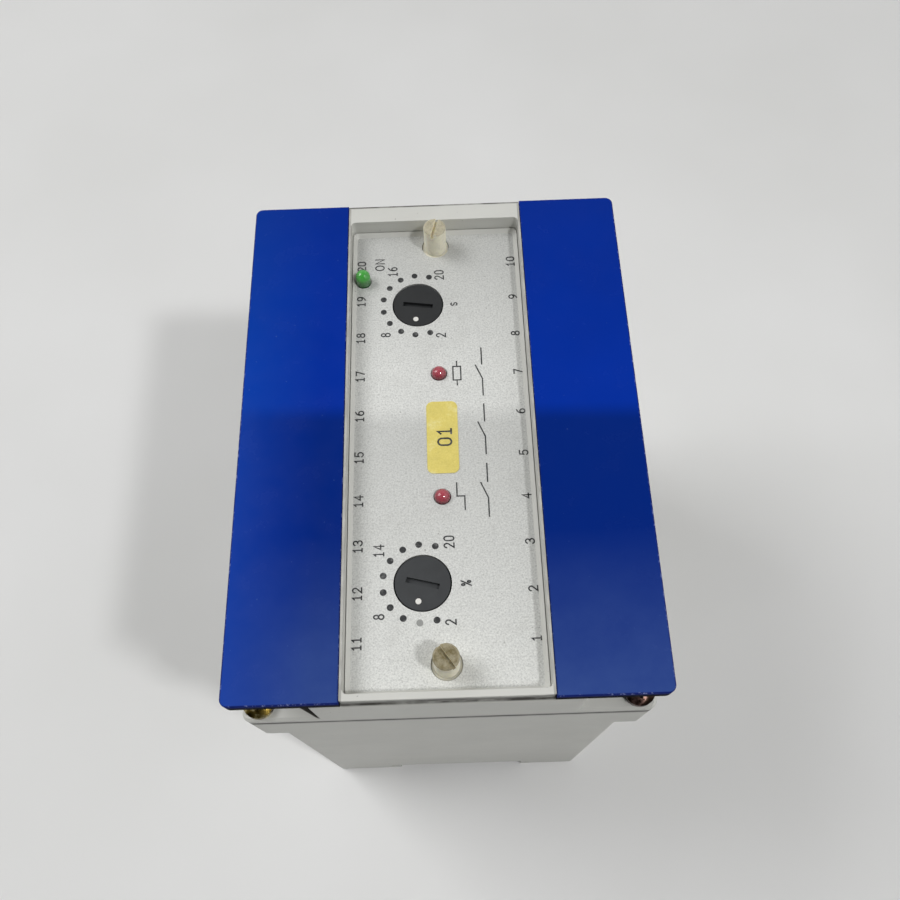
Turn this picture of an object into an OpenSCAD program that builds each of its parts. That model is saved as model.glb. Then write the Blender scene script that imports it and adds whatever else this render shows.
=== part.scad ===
// Rail-mounted protection relay, lying on its back with its panel up.
// X runs across the case, Y along the rail, Z from the back to the front. Millimetres.

/* [Case] */
// Length of the case along the rail
case_l = 101; // [90:0.5:112]
// Width of the lower case
body_w = 65.5; // [60:0.5:70]
// Height of the lower case below its shoulder
body_h = 81.5; // [70:0.5:95]
// Width of the shoulder and of the deck
flange_w = 74; // [68:0.5:80]
// Height of the shoulder
flange_h = 14.3; // [13:0.1:20]
// Thickness of the deck
deck_t = 3; // [2:0.1:4]
// Width of the raised block
block_w = 47.6; // [46.5:0.1:48.5]
// Height of the raised block above the deck
block_h = 13.2; // [12.8:0.1:16]
// Wall thickness of both mouldings
wall = 2.2; // [1.8:0.1:2.4]
// Radius of the shoulder's upright corners
corner_r = 1.5; // [1.25:0.25:3.5]
// Radius of the lower case's upright corners
body_r = 1.5; // [1:0.25:3]
// Chamfer along the edges of the mouldings
edge = 0.5; // [0.2:0.1:0.8]
// Height of the lip that locates the deck in the shoulder
lip_h = 2; // [1:0.25:3]
// Thickness of that lip
lip_t = 1.2; // [0.8:0.1:1.6]
// Height of the groove between the two mouldings
seam_h = 0.3; // [0.2:0.05:0.6]
// Depth of that groove
seam_d = 0.5; // [0.3:0.1:0.8]

/* [Rail foot] */
// Width of the mounting rail
rail_w = 35; // [34.5:0.1:35.5]
// Depth of the rail channel
channel_h = 6; // [5.5:0.1:7]
// Height of the slots that take the rail's edges
rail_slot = 1.5; // [1.2:0.1:2]
// Reach of the hook and the latch behind the rail's edges
hook_grip = 2.3; // [1.5:0.1:3]
// Width of the latch
latch_w = 12; // [10:0.5:16]
// Width of each guide wing on the latch
wing_w = 2; // [1.5:0.25:3]
// Length that the latch stands out of the lower case
latch_tab = 3.5; // [3:0.25:4]
// Length of the latch's nose in front of its spring
latch_nose = 4.8; // [4:0.1:5.5]
// Travel of the latch
latch_travel = 3; // [2:0.25:3.5]
// Wire thickness of the latch spring
spring_wire = 0.4; // [0.3:0.05:0.5]
// Mean radius of the latch spring
spring_r = 1.3; // [1:0.05:1.4]
// Length of the latch spring as fitted
spring_l = 7; // [6.5:0.25:8]
// Turns of the latch spring
spring_turns = 7; // [5:1:9]

/* [Panel] */
// Thickness of the frame and of the terminal covers
cover_t = 3; // [2.5:0.1:4]
// Width of the opening over the panel
open_w = 34.4; // [33:0.1:34.8]
// Corner radius of that opening
open_r = 1; // [0.75:0.25:2]
// Step from the case's ends in to the frame
frame_step = 0.5; // [0.2:0.1:1]
// Width of the frame's near rim
near_rim = 1.1; // [0.8:0.1:3]
// Width of the frame's far rim
far_rim = 3.9; // [3:0.1:5]
// Depth of the panel's face below the front
panel_sink = 4; // [3.8:0.1:5]
// Thickness of the panel
panel_t = 1.5; // [1:0.1:2]
// Offset of the dials, lamps and nylon screws along the case
layout_y = -0.8; // [-1:0.05:1]
// Height and width of the sloping bead that holds the panel down
bead_h = 0.7; // [0.4:0.1:1]
// Thickness of the ledge under the panel
ledge_t = 1.5; // [1.2:0.1:2.5]
// Width of the ledge along the panel's sides
ledge_w = 1.8; // [1.2:0.1:2.5]
// Length of the ledge past the nylon screws' bosses
ledge_lap = 1.4; // [1:0.1:2]
// Thickness of the frame's long rims
rim_t = 0.4; // [0.3:0.1:1]
// Diameter of the frame's locating pegs
frame_peg_d = 1.6; // [1:0.1:2]

/* [Dials and lamps] */
// Diameter of the dials
knob_d = 9.8; // [8:0.1:11]
// Thickness of the dials
knob_t = 2.4; // [2:0.1:3]
// Depth of the dials' faces below the panel's face
knob_drop = 0.1; // [0.05:0.05:0.4]
// Sideways place of both dials
knob_x = -3.85; // [-5:0.05:0]
// Distance of each dial from its nylon screw
post_to_dial = 14.2; // [12:0.1:16]
// Diameter of the dials' shafts
knob_shaft_d = 4; // [3:0.25:5]
// Direction of the white dot on the time dial, in degrees
time_mark = -98; // [-180:1:180]
// Direction of the white dot on the level dial, in degrees
level_mark = -104; // [-180:1:180]
// Distance of the white dots from the dials' centres
mark_r = 3.3; // [3:0.1:4]
// Diameter of the white dots
mark_d = 1.2; // [0.8:0.1:1.5]
// Length, width and depth of the dials' driver slots
knob_slot = [6, 1, 0.8];
// Diameter of the lamps
led_d = 3; // [2.5:0.1:3.2]
// Place of the green lamp from the time dial's centre
green_from_dial = [-11, 6];
// Distance of the red lamps from the panel's middle
red_y = 12.85; // [11:0.05:14]
// Height of the green lamp above the panel's face
green_out = 3.2; // [1.5:0.1:4]
// Height of the red lamps above the panel's face
red_out = 1.4; // [1.3:0.1:3]
// Diameter of the nylon screws' heads
post_d = 4.5; // [4:0.1:5]
// Height of the nylon screws above the front
post_out = 2.5; // [0.5:0.1:3]
// Chamfer of the nylon screws' heads
post_edge = 0.3; // [0.1:0.1:0.6]
// Width and depth of the nylon screws' slots
post_slot = [0.6, 1.1];
// Distance of the nylon screws from the frame's ends
post_end = 6.9; // [6:0.05:8]
// Direction of the upper nylon screw's slot, in degrees
upper_turn = 75; // [0:1:180]
// Direction of the lower nylon screw's slot, in degrees
lower_turn = 125; // [0:1:180]
// Width of the collars round the nylon screws in the panel
post_collar = 0.5; // [0.3:0.1:0.8]
// Depth of those collars below the panel's face
collar_drop = 0.25; // [0.1:0.05:0.5]
// Diameter of the nylon screws' shanks
post_shank_d = 3.2; // [2.5:0.1:3.4]
// Width, length and corner radius of the yellow label
label_size = [5.9, 14.9, 1.2];
// Place of the yellow label on the panel
label_at = [0.35, -0.8];
// Thickness of the yellow label
label_t = 0.12; // [0.08:0.01:0.2]

/* [Terminals] */
// Distance between terminals
pitch = 8.6; // [8:0.1:9.5]
// Gap from the terminal blocks' ends to the case screws' heads
term_gap = 0.4; // [0.3:0.1:2]
// Height of the terminal blocks' base
term_base = 2.8; // [2.4:0.1:3.5]
// Height of the barriers above that base
barrier_h = 5.7; // [5:0.1:6]
// Thickness of the barriers
barrier_t = 1.6; // [1.2:0.1:1.8]
// Thickness of the terminal bars
bar_t = 1; // [0.8:0.1:1.2]
// Width of the terminal bars
bar_w = 6.2; // [5.5:0.1:6.2]
// Diameter of the terminal screws
term_screw_d = 3.4; // [2.9:0.1:3.6]
// Side of the square clamp washers
washer_w = 6; // [5.5:0.1:6.2]
// Thickness of the clamp washers
washer_t = 0.9; // [0.6:0.1:1]
// Overhang of the deck past the terminal blocks
term_inset = 0.8; // [0.5:0.1:1.2]
// Inset of the covers' outer edges from the shoulder's sides
cover_inset = 0; // [0:0.05:1]
// Inset of the covers' ends from the case's ends
cover_end = 0.1; // [0:0.05:1]
// Gap between the covers and the frame
cover_gap = 0.1; // [0.1:0.05:0.3]
// Radius of the covers' outer corners
cover_r = 1.4; // [0.6:0.1:3]
// Chamfer along the covers' top edges
cover_edge = 0.2; // [0.1:0.05:0.5]
// Diameter of the covers' pegs
cover_peg_d = 3; // [2.5:0.1:3.2]
// Length of the covers' pegs
cover_peg_l = 3.5; // [3:0.1:4]
// Distance of the covers' outer pegs from their ends
cover_peg_end = 12; // [8:0.5:20]

/* [Boards] */
// Thickness of both circuit boards
board_t = 1.6; // [1.2:0.1:1.8]
// Gap round both boards
board_clear = 0.6; // [0.4:0.1:1.5]
// Height from the front board to the ledge
front_board_gap = 4.9; // [4.6:0.1:5.2]
// Length of the pillars over the main board
pillar_h = 3.4; // [3:0.1:4]
// Distances of the screws from the front board's sides and ends
front_screw_in = [2.8, 12];
// Distances of the screws from the main board's sides and ends
main_screw_in = [3, 3.5];
// Diameter of the board screws
board_screw_d = 1.9; // [1.6:0.1:2.2]

/* [Transformers] */
// Stack of laminations in the supply transformer
stack_l = 18; // [14:1:24]
// Width of the laminations
lamination_w = 42; // [36:1:46]
// Width of a lamination's outer leg
leg_w = 7; // [6:0.5:7]
// Height of the windows in the laminations
window_h = 21; // [16:1:24]
// Place of the supply transformer on the main board
transformer_at = [0, 22];
// Outer diameter of the current transformer
ct_d = 27; // [22:1:30]
// Bore of the current transformer
ct_bore = 11; // [8:1:13]
// Height of the current transformer
ct_h = 12; // [10:1:16]
// Place of the current transformer on the main board
ct_at = [-9.5, -24];

/* [Case screws] */
// Diameter of the case screws
screw_d = 2.9; // [2.5:0.1:3]
// Diameter of the case screws' heads
screw_head_d = 5.6; // [5:0.1:5.8]
// Height of the case screws' heads
screw_head_h = 2; // [1.5:0.1:2.5]
// Length of the case screws under the head
screw_l = 12; // [10:0.5:14]
// Distance of the case screws from the deck's edges
screw_inset = 3.1; // [3:0.05:3.4]
// Diameter of the bosses that take the case screws
boss_d = 6; // [5.5:0.1:6.2]

/* [Fits] */
// Gap between mouldings that locate in one another
fit = 0.15; // [0.1:0.05:0.25]
// Gap between a turning shaft and its bore
running = 0.05; // [0.03:0.01:0.08]
// Gap between sliding or turning faces
slide_gap = 0.25; // [0.2:0.05:0.35]
// Gap round screws in their holes
screw_gap = 0.1; // [0.05:0.05:0.2]

/* [Hidden] */
$fn = 48;
over = 0.5;

// Heights of the stack
deck_z = body_h + flange_h;
deck_top = deck_z + deck_t;
block_top = deck_top + block_h;
front_z = block_top + cover_t;
panel_top = front_z - panel_sink;
panel_seat = panel_top - panel_t;
ledge_z = panel_seat - ledge_t;
floor_z = channel_h + wall;

// Case screws
screw_room = 1;
screw_x = flange_w / 2 - screw_inset;
screw_y = case_l / 2 - screw_inset;

// Rail foot
channel_x = rail_w / 2 + slide_gap;
hook_x = rail_w / 2 - hook_grip;
pocket_top = channel_h - rail_slot;
wing_z = pocket_top / 2;
latch_z0 = slide_gap;
latch_end = body_w / 2 + latch_tab;
window_x0 = hook_x + latch_nose;
rib_x = window_x0 + spring_l + 2 * fit;
rib_t = 1.7;
spring_room = 0.5;
window_w = 2 * (spring_r + spring_wire + spring_room);
spring_z = (latch_z0 + pocket_top) / 2;

// Terminals
term_x0 = block_w / 2 + fit;
term_x1 = flange_w / 2 - term_inset;
term_w = term_x1 - term_x0;
term_x = (term_x0 + term_x1) / 2;
term_room = 2 * (screw_y - screw_head_d / 2 - term_gap);
term_n = floor((term_room - barrier_t) / pitch);
term_l = term_n * pitch + barrier_t;
bar_z = deck_top + term_base;
washer_z = bar_z + bar_t;
head_z = washer_z + washer_t;
tail_t = 0.8;
tail_w = 3;
tail_in = 1.2;
tail_x = term_x0 + tail_in;
tail_gap = 0.15;
bar_out = 0.6;
bar_l = term_w - tail_in - bar_out;
term_screw_floor = 1.2;
term_screw_l = washer_t + bar_t + term_base - term_screw_floor;
solder_out = 1;

// Covers and frame
frame_l = case_l - 2 * frame_step;
cover_l = case_l - 2 * cover_end;
cover_x0 = open_w / 2 + rim_t + cover_gap;
cover_w = flange_w / 2 - cover_inset - cover_x0;
cover_peg_x = (cover_x0 + block_w / 2) / 2;
cover_peg_gap = cover_l / 2 - cover_peg_end;
open_l = frame_l - near_rim - far_rim;
open_y = (near_rim - far_rim) / 2;
frame_peg_y = (frame_l - far_rim) / 2;
frame_peg_in = 5;
frame_peg_x = open_w / 2 - frame_peg_in;
frame_peg_l = 2;
post_y = frame_l / 2 - post_end;
knob_y = post_y - post_to_dial;
ledge_gap_l = 2 * (post_y - post_shank_d - ledge_lap);
green_at = [knob_x + green_from_dial[0], knob_y + green_from_dial[1]];

// Boards and what stands on them
front_board_top = ledge_z - front_board_gap;
front_board_z = front_board_top - board_t;
main_board_top = deck_z - pillar_h;
main_board_z = main_board_top - board_t;
front_board_w = block_w - 2 * wall - 2 * board_clear;
front_board_l = 2 * (post_y - post_shank_d - board_clear);
front_screw_at = [front_board_w / 2 - front_screw_in[0], front_board_l / 2 - front_screw_in[1]];
main_board_w = flange_w - 2 * wall - 2 * board_clear;
main_board_l = 2 * (screw_y - boss_d / 2 - board_clear);
main_screw_at = [main_board_w / 2 - main_screw_in[0], main_board_l / 2 - main_screw_in[1]];
board_r = 1;
link_size = [2.5, 12];
pot_w = 9.5;
pot_top = panel_top - knob_drop - knob_t - slide_gap;
shaft_gap = 1;
shaft_end = front_board_top + shaft_gap;
led_flange_t = 0.9;
led_flange_gap = 0.2;
led_flange_z = ledge_z - led_flange_t - led_flange_gap;
led_flange_out = 0.4;
led_flange_d = led_d + 2 * led_flange_out;
led_legs = 1.27;
led_leg_t = 0.5;
pillar_d = 5;
post_boss_h = 5;
post_bore_d = post_shank_d + 2 * running;
post_hole_d = post_d + 2 * post_collar;
pilot_d = board_screw_d + 2 * screw_gap;

chip_size = [6.4, 19.4, 3.4];
chip_at = [9, 20];
chip_legs = 7;
chip_leg_gap = 2.54;
coil_window = (lamination_w - 4 * leg_w) / 2;
core_h = window_h + 2 * leg_w;
relay_size = [12.8, 29, 15.7];
relay_at = [14, -24];
capacitor_d = 12;
capacitor_h = 25;
capacitor_at = [12, -1.5];
capacitor_groove = 3;

// Colours
case_grey = "#bcbcb8";
nylon_cream = "#d9d2b4";
cover_blue = "#12329a";
board_green = "#2c5f3a";
gold = "#c9a85c";

// Flat shapes with round corners
module rounded(w, l, r) {
    square([w - 2 * r, l], center = true);
    square([w, l - 2 * r], center = true);
    for (x = [-1, 1], y = [-1, 1])
        translate([x * (w / 2 - r), y * (l / 2 - r)])
            circle(r);
}

module plate(w, l, h, r) {
    linear_extrude(h)
        rounded(w, l, r);
}

// A plate with chamfered rims, at its top, its bottom or both
module chamfered(w, l, h, r, c, top = true, bottom = false) {
    low = bottom ? c : 0;
    high = top ? c : 0;
    hull() {
        translate([0, 0, low])
            linear_extrude(h - low - high)
                rounded(w, l, r, $fn = 32);
        linear_extrude(h)
            rounded(w - 2 * c, l - 2 * c, max(r - c, 0.1), $fn = 32);
    }
}

module box(x, y, z) {
    translate([x[0], y[0], z[0]])
        cube([x[1] - x[0], y[1] - y[0], z[1] - z[0]]);
}

module at_case_screws(z) {
    for (x = [-1, 1], y = [-1, 1])
        translate([x * screw_x, y * screw_y, z])
            children();
}

module at_board_screws(at, z) {
    for (x = [-1, 1], y = [-1, 1])
        translate([x * at[0], y * at[1], z])
            children();
}

module at_terminals(x, z) {
    for (i = [0 : term_n - 1])
        translate([x, (i - (term_n - 1) / 2) * pitch, z])
            children();
}

module at_cover_pegs(z) {
    for (i = [-1 : 1])
        translate([cover_peg_x, i * cover_peg_gap, z])
            children();
}

module at_frame_pegs(z) {
    for (x = [-1, 1])
        translate([x * frame_peg_x, frame_peg_y, z])
            children();
}

module left_side() {
    mirror([1, 0, 0])
        children();
}

// Screw with a domed head, its head's seat at the origin
module pan_screw(d, l, head_d, head_h) {
    difference() {
        union() {
            rotate_extrude()
                intersection() {
                    translate([0, head_h - head_d])
                        circle(head_d);
                    square([head_d / 2, head_h]);
                }
            translate([0, 0, -l])
                cylinder(d = d, h = l + head_h / 2);
        }
        for (a = [0, 90])
            rotate(a)
                translate([0, 0, head_h])
                    cube([head_d * 0.55, head_d * 0.14, head_h], center = true);
    }
}

// Back moulding

module lower_shell() {
    difference() {
        union() {
            chamfered(body_w, case_l, body_h + over, body_r, edge, top = false, bottom = true);
            translate([0, 0, body_h])
                chamfered(flange_w, case_l, flange_h, corner_r, edge, top = false, bottom = true);
        }
        translate([0, 0, floor_z])
            plate(body_w - 2 * wall, case_l - 2 * wall, deck_z, body_r);
        translate([0, 0, body_h + wall])
            plate(flange_w - 2 * wall, case_l - 2 * wall, flange_h, corner_r - edge);
    }
}

module rail_channel() {
    box([-hook_x, channel_x], [-case_l, case_l], [-over, channel_h]);
    box([-channel_x, channel_x], [-case_l, case_l], [pocket_top, channel_h]);
}

// Guide for the latch in the foot behind the channel
module latch_guide() {
    box([0, body_w], [-1, 1] * (latch_w / 2 + slide_gap), [-over, pocket_top]);
    box([0, body_w], [-1, 1] * (latch_w / 2 + wing_w + slide_gap), [wing_z - slide_gap, pocket_top]);
}

module lower_case() {
    color(case_grey)
        difference() {
            union() {
                difference() {
                    lower_shell();
                    rail_channel();
                    latch_guide();
                }
                at_case_screws(body_h + edge)
                    cylinder(d = boss_d, h = flange_h - edge);
                box([rib_x, rib_x + rib_t], [-1, 1] * spring_r, [2 * slide_gap, pocket_top + over]);
            }
            at_case_screws(deck_top - screw_l - screw_room)
                cylinder(d = screw_d + 2 * screw_gap, h = screw_l);
        }
}

module latch_profile() {
    bevel = 1.6;
    polygon([
        [hook_x, latch_z0 + bevel],
        [hook_x + bevel, latch_z0],
        [latch_end, latch_z0],
        [latch_end, pocket_top - slide_gap],
        [hook_x, pocket_top - slide_gap]
    ]);
}

module latch_bar(w, z) {
    intersection() {
        rotate([90, 0, 0])
            linear_extrude(w, center = true)
                latch_profile();
        box([0, 2 * body_w], [-w, w], [z, channel_h]);
    }
}

module rail_latch() {
    tool_slot = 1.4;
    color("#3a3b3d")
        difference() {
            union() {
                latch_bar(latch_w, 0);
                intersection() {
                    latch_bar(latch_w + 2 * wing_w, wing_z);
                    box([channel_x + slide_gap, body_w / 2 - latch_travel], [-body_w, body_w], [0, channel_h]);
                }
            }
            box([window_x0, rib_x + rib_t + slide_gap], [-1, 1] * window_w / 2, [-over, channel_h]);
            box(
                [latch_end - 2 * tool_slot, latch_end - tool_slot],
                [-1, 1] * latch_w / 4,
                [-over, channel_h]
            );
        }
}

// Round wire swept along a helix
function helix_x(t) = window_x0 + fit + spring_wire / 2 + t * (spring_l - spring_wire);

function wire_ring(t, sides) = [
    for (k = [0 : sides - 1])
        let (a = 360 * spring_turns * t, b = 360 * k / sides, out = spring_r + spring_wire / 2 * cos(b))
            [helix_x(t) + spring_wire / 2 * sin(b), out * cos(a), spring_z + out * sin(a)]
];

module latch_spring() {
    sides = 6;
    rings = 14 * spring_turns;
    points = [for (i = [0 : rings]) each wire_ring(i / rings, sides)];
    walls = [
        for (i = [0 : rings - 1], k = [0 : sides - 1])
            let (a = i * sides + k, b = i * sides + (k + 1) % sides)
                each [[a, b, b + sides], [a, b + sides, a + sides]]
    ];
    first = [for (k = [sides - 1 : -1 : 0]) k];
    last = [for (k = [0 : sides - 1]) rings * sides + k];
    color("silver")
        polyhedron(points, concat(walls, [first, last]));
}

// Front moulding

module deck_lip() {
    w = flange_w - 2 * wall - 2 * fit;
    l = case_l - 2 * wall - 2 * fit;
    translate([0, 0, deck_z - lip_h])
        difference() {
            plate(w, l, lip_h + over, corner_r - edge);
            translate([0, 0, -over])
                plate(w - 2 * lip_t, l - 2 * lip_t, lip_h + 3 * over, corner_r - edge - lip_t / 2);
            for (x = [-1, 1], y = [-1, 1])
                translate([x * screw_x, y * screw_y, -over])
                    cylinder(d = boss_d + 2 * fit, h = lip_h + over);
        }
}

module upper_shell() {
    translate([0, 0, deck_z])
        plate(flange_w - 2 * seam_d, case_l - 2 * seam_d, deck_t / 2, corner_r - seam_d);
    translate([0, 0, deck_z + seam_h]) {
        chamfered(flange_w, case_l, deck_t - seam_h, corner_r, edge);
        chamfered(block_w, case_l, deck_t + block_h - seam_h, body_r, edge);
    }
    deck_lip();
    at_board_screws(main_screw_at, main_board_top)
        cylinder(d = pillar_d, h = pillar_h + over);
}

module block_inside() {
    x = block_w / 2 - wall;
    y = case_l / 2 - wall;
    box([-x, x], [-y, y], [deck_z - lip_h - over, ledge_z]);
    translate([0, open_y, panel_seat])
        plate(open_w, open_l, block_h, open_r);
    translate([0, layout_y, ledge_z - over])
        plate(open_w - 2 * ledge_w, ledge_gap_l, ledge_t + 2 * over, open_r);
    translate([green_at[0], layout_y + green_at[1], ledge_z - over])
        cylinder(d = led_d + 2 * screw_gap, h = ledge_t + 2 * over);
}

module ledge_bosses() {
    translate([0, layout_y, 0]) {
        at_board_screws(front_screw_at, front_board_top)
            cylinder(d = pillar_d, h = front_board_gap + over);
        for (y = [-1, 1])
            translate([0, y * post_y, ledge_z - post_boss_h])
                cylinder(d = 2 * post_shank_d, h = post_boss_h + over);
    }
}

module upper_case() {
    slot = [tail_t + 2 * tail_gap, tail_w + 2 * tail_gap];
    color(case_grey)
        difference() {
            union() {
                difference() {
                    upper_shell();
                    block_inside();
                }
                ledge_bosses();
            }
            at_case_screws(deck_z - over)
                cylinder(d = screw_d + 4 * screw_gap, h = deck_t + 2 * over);
            for (s = [0, 1])
                mirror([s, 0, 0]) {
                    at_terminals(tail_x + tail_t / 2, deck_z)
                        cube([slot[0], slot[1], 4 * deck_t], center = true);
                    at_cover_pegs(block_top - cover_peg_l - fit)
                        cylinder(d = cover_peg_d + 2 * running, h = cover_peg_l + 1);
                }
            at_frame_pegs(block_top - frame_peg_l - fit)
                cylinder(d = frame_peg_d + 2 * screw_gap, h = frame_peg_l + 1);
            translate([0, layout_y, 0]) {
                for (y = [-1, 1])
                    translate([0, y * post_y, ledge_z - post_boss_h - over])
                        cylinder(d = post_bore_d, h = post_boss_h + ledge_t + 2 * over);
                at_board_screws(front_screw_at, front_board_top - over)
                    cylinder(d = pilot_d, h = front_board_gap);
            }
            at_board_screws(main_screw_at, main_board_top - over)
                cylinder(d = pilot_d, h = pillar_h + over);
        }
}

module case_screws() {
    color(gold)
        at_case_screws(deck_top)
            pan_screw(screw_d, screw_l, screw_head_d, screw_head_h);
}

// Panel and what it carries

module panel_frame() {
    w = open_w + 2 * rim_t;
    color(case_grey)
        difference() {
            union() {
                translate([0, 0, block_top])
                    plate(w, frame_l, cover_t, rim_t / 2);
                at_frame_pegs(block_top - frame_peg_l)
                    cylinder(d = frame_peg_d, h = frame_peg_l + over);
            }
            translate([0, open_y, block_top - over])
                plate(open_w, open_l, cover_t + 2 * over, open_r);
        }
}

module panel_hole(x, y, d) {
    translate([x, layout_y + y, panel_seat - over])
        cylinder(d = d, h = panel_t + 2 * over);
}

module front_panel() {
    color("#c9cbc9")
        difference() {
            translate([0, open_y, panel_seat])
                plate(open_w - 2 * fit, open_l - 2 * fit, panel_t, open_r - fit);
            for (y = [-1, 1]) {
                panel_hole(knob_x, y * knob_y, knob_d + 2 * slide_gap);
                panel_hole(0, y * post_y, post_hole_d);
                panel_hole(0, y * red_y, led_d + 2 * screw_gap);
            }
            panel_hole(green_at[0], green_at[1], led_d + 2 * screw_gap);
        }
}

// Space inside the bead, widening upwards
module bead_inside(w, l, r) {
    land = 0.1;
    hull()
        for (up = [-1, 2]) {
            inset = land + (1 - up) * bead_h;
            translate([0, 0, up * bead_h])
                linear_extrude(over)
                    rounded(w - 2 * inset, l - 2 * inset, max(r - inset, over / 2), $fn = 32);
        }
}

module panel_bead() {
    w = open_w - 2 * fit;
    l = open_l - 2 * fit;
    color(case_grey)
        translate([0, open_y, panel_top])
            difference() {
                plate(w, l, bead_h, open_r - fit);
                bead_inside(w, l, open_r - fit);
            }
}

module yellow_label() {
    color("#e0d060")
        translate([label_at[0], label_at[1] + layout_y, panel_top])
            plate(label_size[0], label_size[1], label_t, label_size[2]);
}

// Flush dial with a driver slot, a dot near its rim and a shaft below
module dial(mark) {
    dot_h = 0.2;
    top = panel_top - knob_drop;
    color("#3c3e42")
        difference() {
            union() {
                translate([0, 0, top - knob_t])
                    cylinder(d = knob_d, h = knob_t);
                translate([0, 0, shaft_end])
                    cylinder(d = knob_shaft_d, h = top - shaft_end - knob_t / 2);
            }
            rotate(mark + 90)
                translate([0, 0, top])
                    cube([knob_slot[0], knob_slot[1], 2 * knob_slot[2]], center = true);
            rotate(mark)
                translate([mark_r, 0, top - dot_h])
                    cylinder(d = mark_d, h = dot_h + over);
        }
}

module time_knob() {
    translate([knob_x, layout_y + knob_y, 0])
        dial(time_mark);
}

module level_knob() {
    translate([knob_x, layout_y - knob_y, 0])
        dial(level_mark);
}

// Lamp with a domed end, a flange and two legs through the board
module lamp(top) {
    union() {
        translate([0, 0, led_flange_z])
            cylinder(d = led_flange_d, h = led_flange_t);
        translate([0, 0, led_flange_z])
            cylinder(d = led_d, h = top - led_d / 2 - led_flange_z);
        translate([0, 0, top - led_d / 2])
            sphere(d = led_d);
        for (x = [-1, 1])
            translate([x * led_legs - led_leg_t / 2, -led_leg_t / 2, front_board_z - solder_out])
                cube([led_leg_t, led_leg_t, led_flange_z - front_board_z + solder_out + led_flange_t / 2]);
    }
}

module green_led() {
    color("#3c9a3c")
        translate([green_at[0], green_at[1] + layout_y, 0])
            lamp(panel_top + green_out);
}

module upper_red_led() {
    color("#a02838")
        translate([0, layout_y + red_y, 0])
            lamp(panel_top + red_out);
}

module lower_red_led() {
    color("#a02838")
        translate([0, layout_y - red_y, 0])
            lamp(panel_top + red_out);
}

// Slotted nylon screw that stands on the ledge
module post_screw(turn) {
    top = front_z + post_out;
    color(nylon_cream)
        difference() {
            union() {
                translate([0, 0, panel_seat])
                    cylinder(d = post_d, h = top - post_edge - panel_seat);
                translate([0, 0, top - post_edge])
                    cylinder(d1 = post_d, d2 = post_d - 2 * post_edge, h = post_edge);
                translate([0, 0, panel_seat])
                    cylinder(d = post_hole_d - 2 * screw_gap, h = panel_t - collar_drop);
                translate([0, 0, ledge_z - post_boss_h - 1])
                    cylinder(d = post_shank_d, h = post_boss_h + ledge_t + 1 + over);
            }
            rotate(turn)
                translate([0, 0, top])
                    cube([2 * post_d, post_slot[0], 2 * post_slot[1]], center = true);
        }
}

module upper_post() {
    translate([0, layout_y + post_y, 0])
        post_screw(upper_turn);
}

module lower_post() {
    translate([0, layout_y - post_y, 0])
        post_screw(lower_turn);
}

// Terminals

// Outline of a cover, square along the frame and round outside
module cover_shape(inset) {
    w = cover_w - 2 * inset;
    l = cover_l - 2 * inset;
    rounded(w, l, cover_r - inset, $fn = 32);
    translate([-w / 4, 0])
        square([w / 2, l], center = true);
}

module terminal_cover() {
    color(cover_blue)
        union() {
            translate([cover_x0 + cover_w / 2, 0, block_top])
                hull() {
                    linear_extrude(cover_t - cover_edge)
                        cover_shape(0);
                    linear_extrude(cover_t)
                        cover_shape(cover_edge);
                }
            at_cover_pegs(block_top - cover_peg_l)
                cylinder(d = cover_peg_d, h = cover_peg_l + over);
        }
}

module left_cover() {
    left_side()
        terminal_cover();
}

module right_cover() {
    terminal_cover();
}

module terminal_block() {
    y = term_l / 2;
    color("#2b2c2e")
        difference() {
            union() {
                box([term_x0, term_x1], [-y, y], [deck_top, bar_z]);
                for (i = [0 : term_n])
                    translate([term_x0, (i - term_n / 2) * pitch - barrier_t / 2, bar_z - over])
                        cube([term_w, barrier_t, barrier_h + over]);
            }
            at_terminals(tail_x + tail_t / 2, deck_top)
                cube([tail_t + 2 * tail_gap, tail_w + 2 * tail_gap, 4 * term_base], center = true);
            at_terminals(term_x, head_z - term_screw_l - 0.2)
                cylinder(d = term_screw_d + 2 * screw_gap, h = term_screw_l);
        }
}

module left_terminal_block() {
    left_side()
        terminal_block();
}

module right_terminal_block() {
    terminal_block();
}

// Flat bar under the screw, with a tail bent down to the main board
module terminal_bars() {
    color("#b08d4a")
        at_terminals(0, 0)
            difference() {
                union() {
                    box([tail_x, tail_x + bar_l], [-1, 1] * bar_w / 2, [bar_z, washer_z]);
                    box([tail_x, tail_x + tail_t], [-1, 1] * tail_w / 2, [main_board_z - solder_out, washer_z]);
                }
                translate([term_x, 0, bar_z - over])
                    cylinder(d = term_screw_d + 2 * screw_gap, h = bar_t + 2 * over);
            }
}

module left_terminal_bars() {
    left_side()
        terminal_bars();
}

module right_terminal_bars() {
    terminal_bars();
}

module clamp_washers() {
    color("silver")
        at_terminals(term_x, washer_z)
            difference() {
                translate([0, 0, washer_t / 2])
                    cube([washer_w, washer_w, washer_t], center = true);
                translate([0, 0, -over])
                    cylinder(d = term_screw_d + 4 * screw_gap, h = washer_t + 2 * over);
            }
}

module left_clamp_washers() {
    left_side()
        clamp_washers();
}

module right_clamp_washers() {
    clamp_washers();
}

module terminal_screws() {
    head_h = 2.2;
    color("silver")
        at_terminals(term_x, head_z)
            pan_screw(term_screw_d, term_screw_l, washer_w, head_h);
}

module left_terminal_screws() {
    left_side()
        terminal_screws();
}

module right_terminal_screws() {
    terminal_screws();
}

// Boards and the parts on them

module lamp_leg_holes(x, y) {
    for (s = [-1, 1])
        translate([x + s * led_legs, y, front_board_z - over])
            cylinder(d = 2 * led_leg_t, h = board_t + 2 * over);
}

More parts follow.
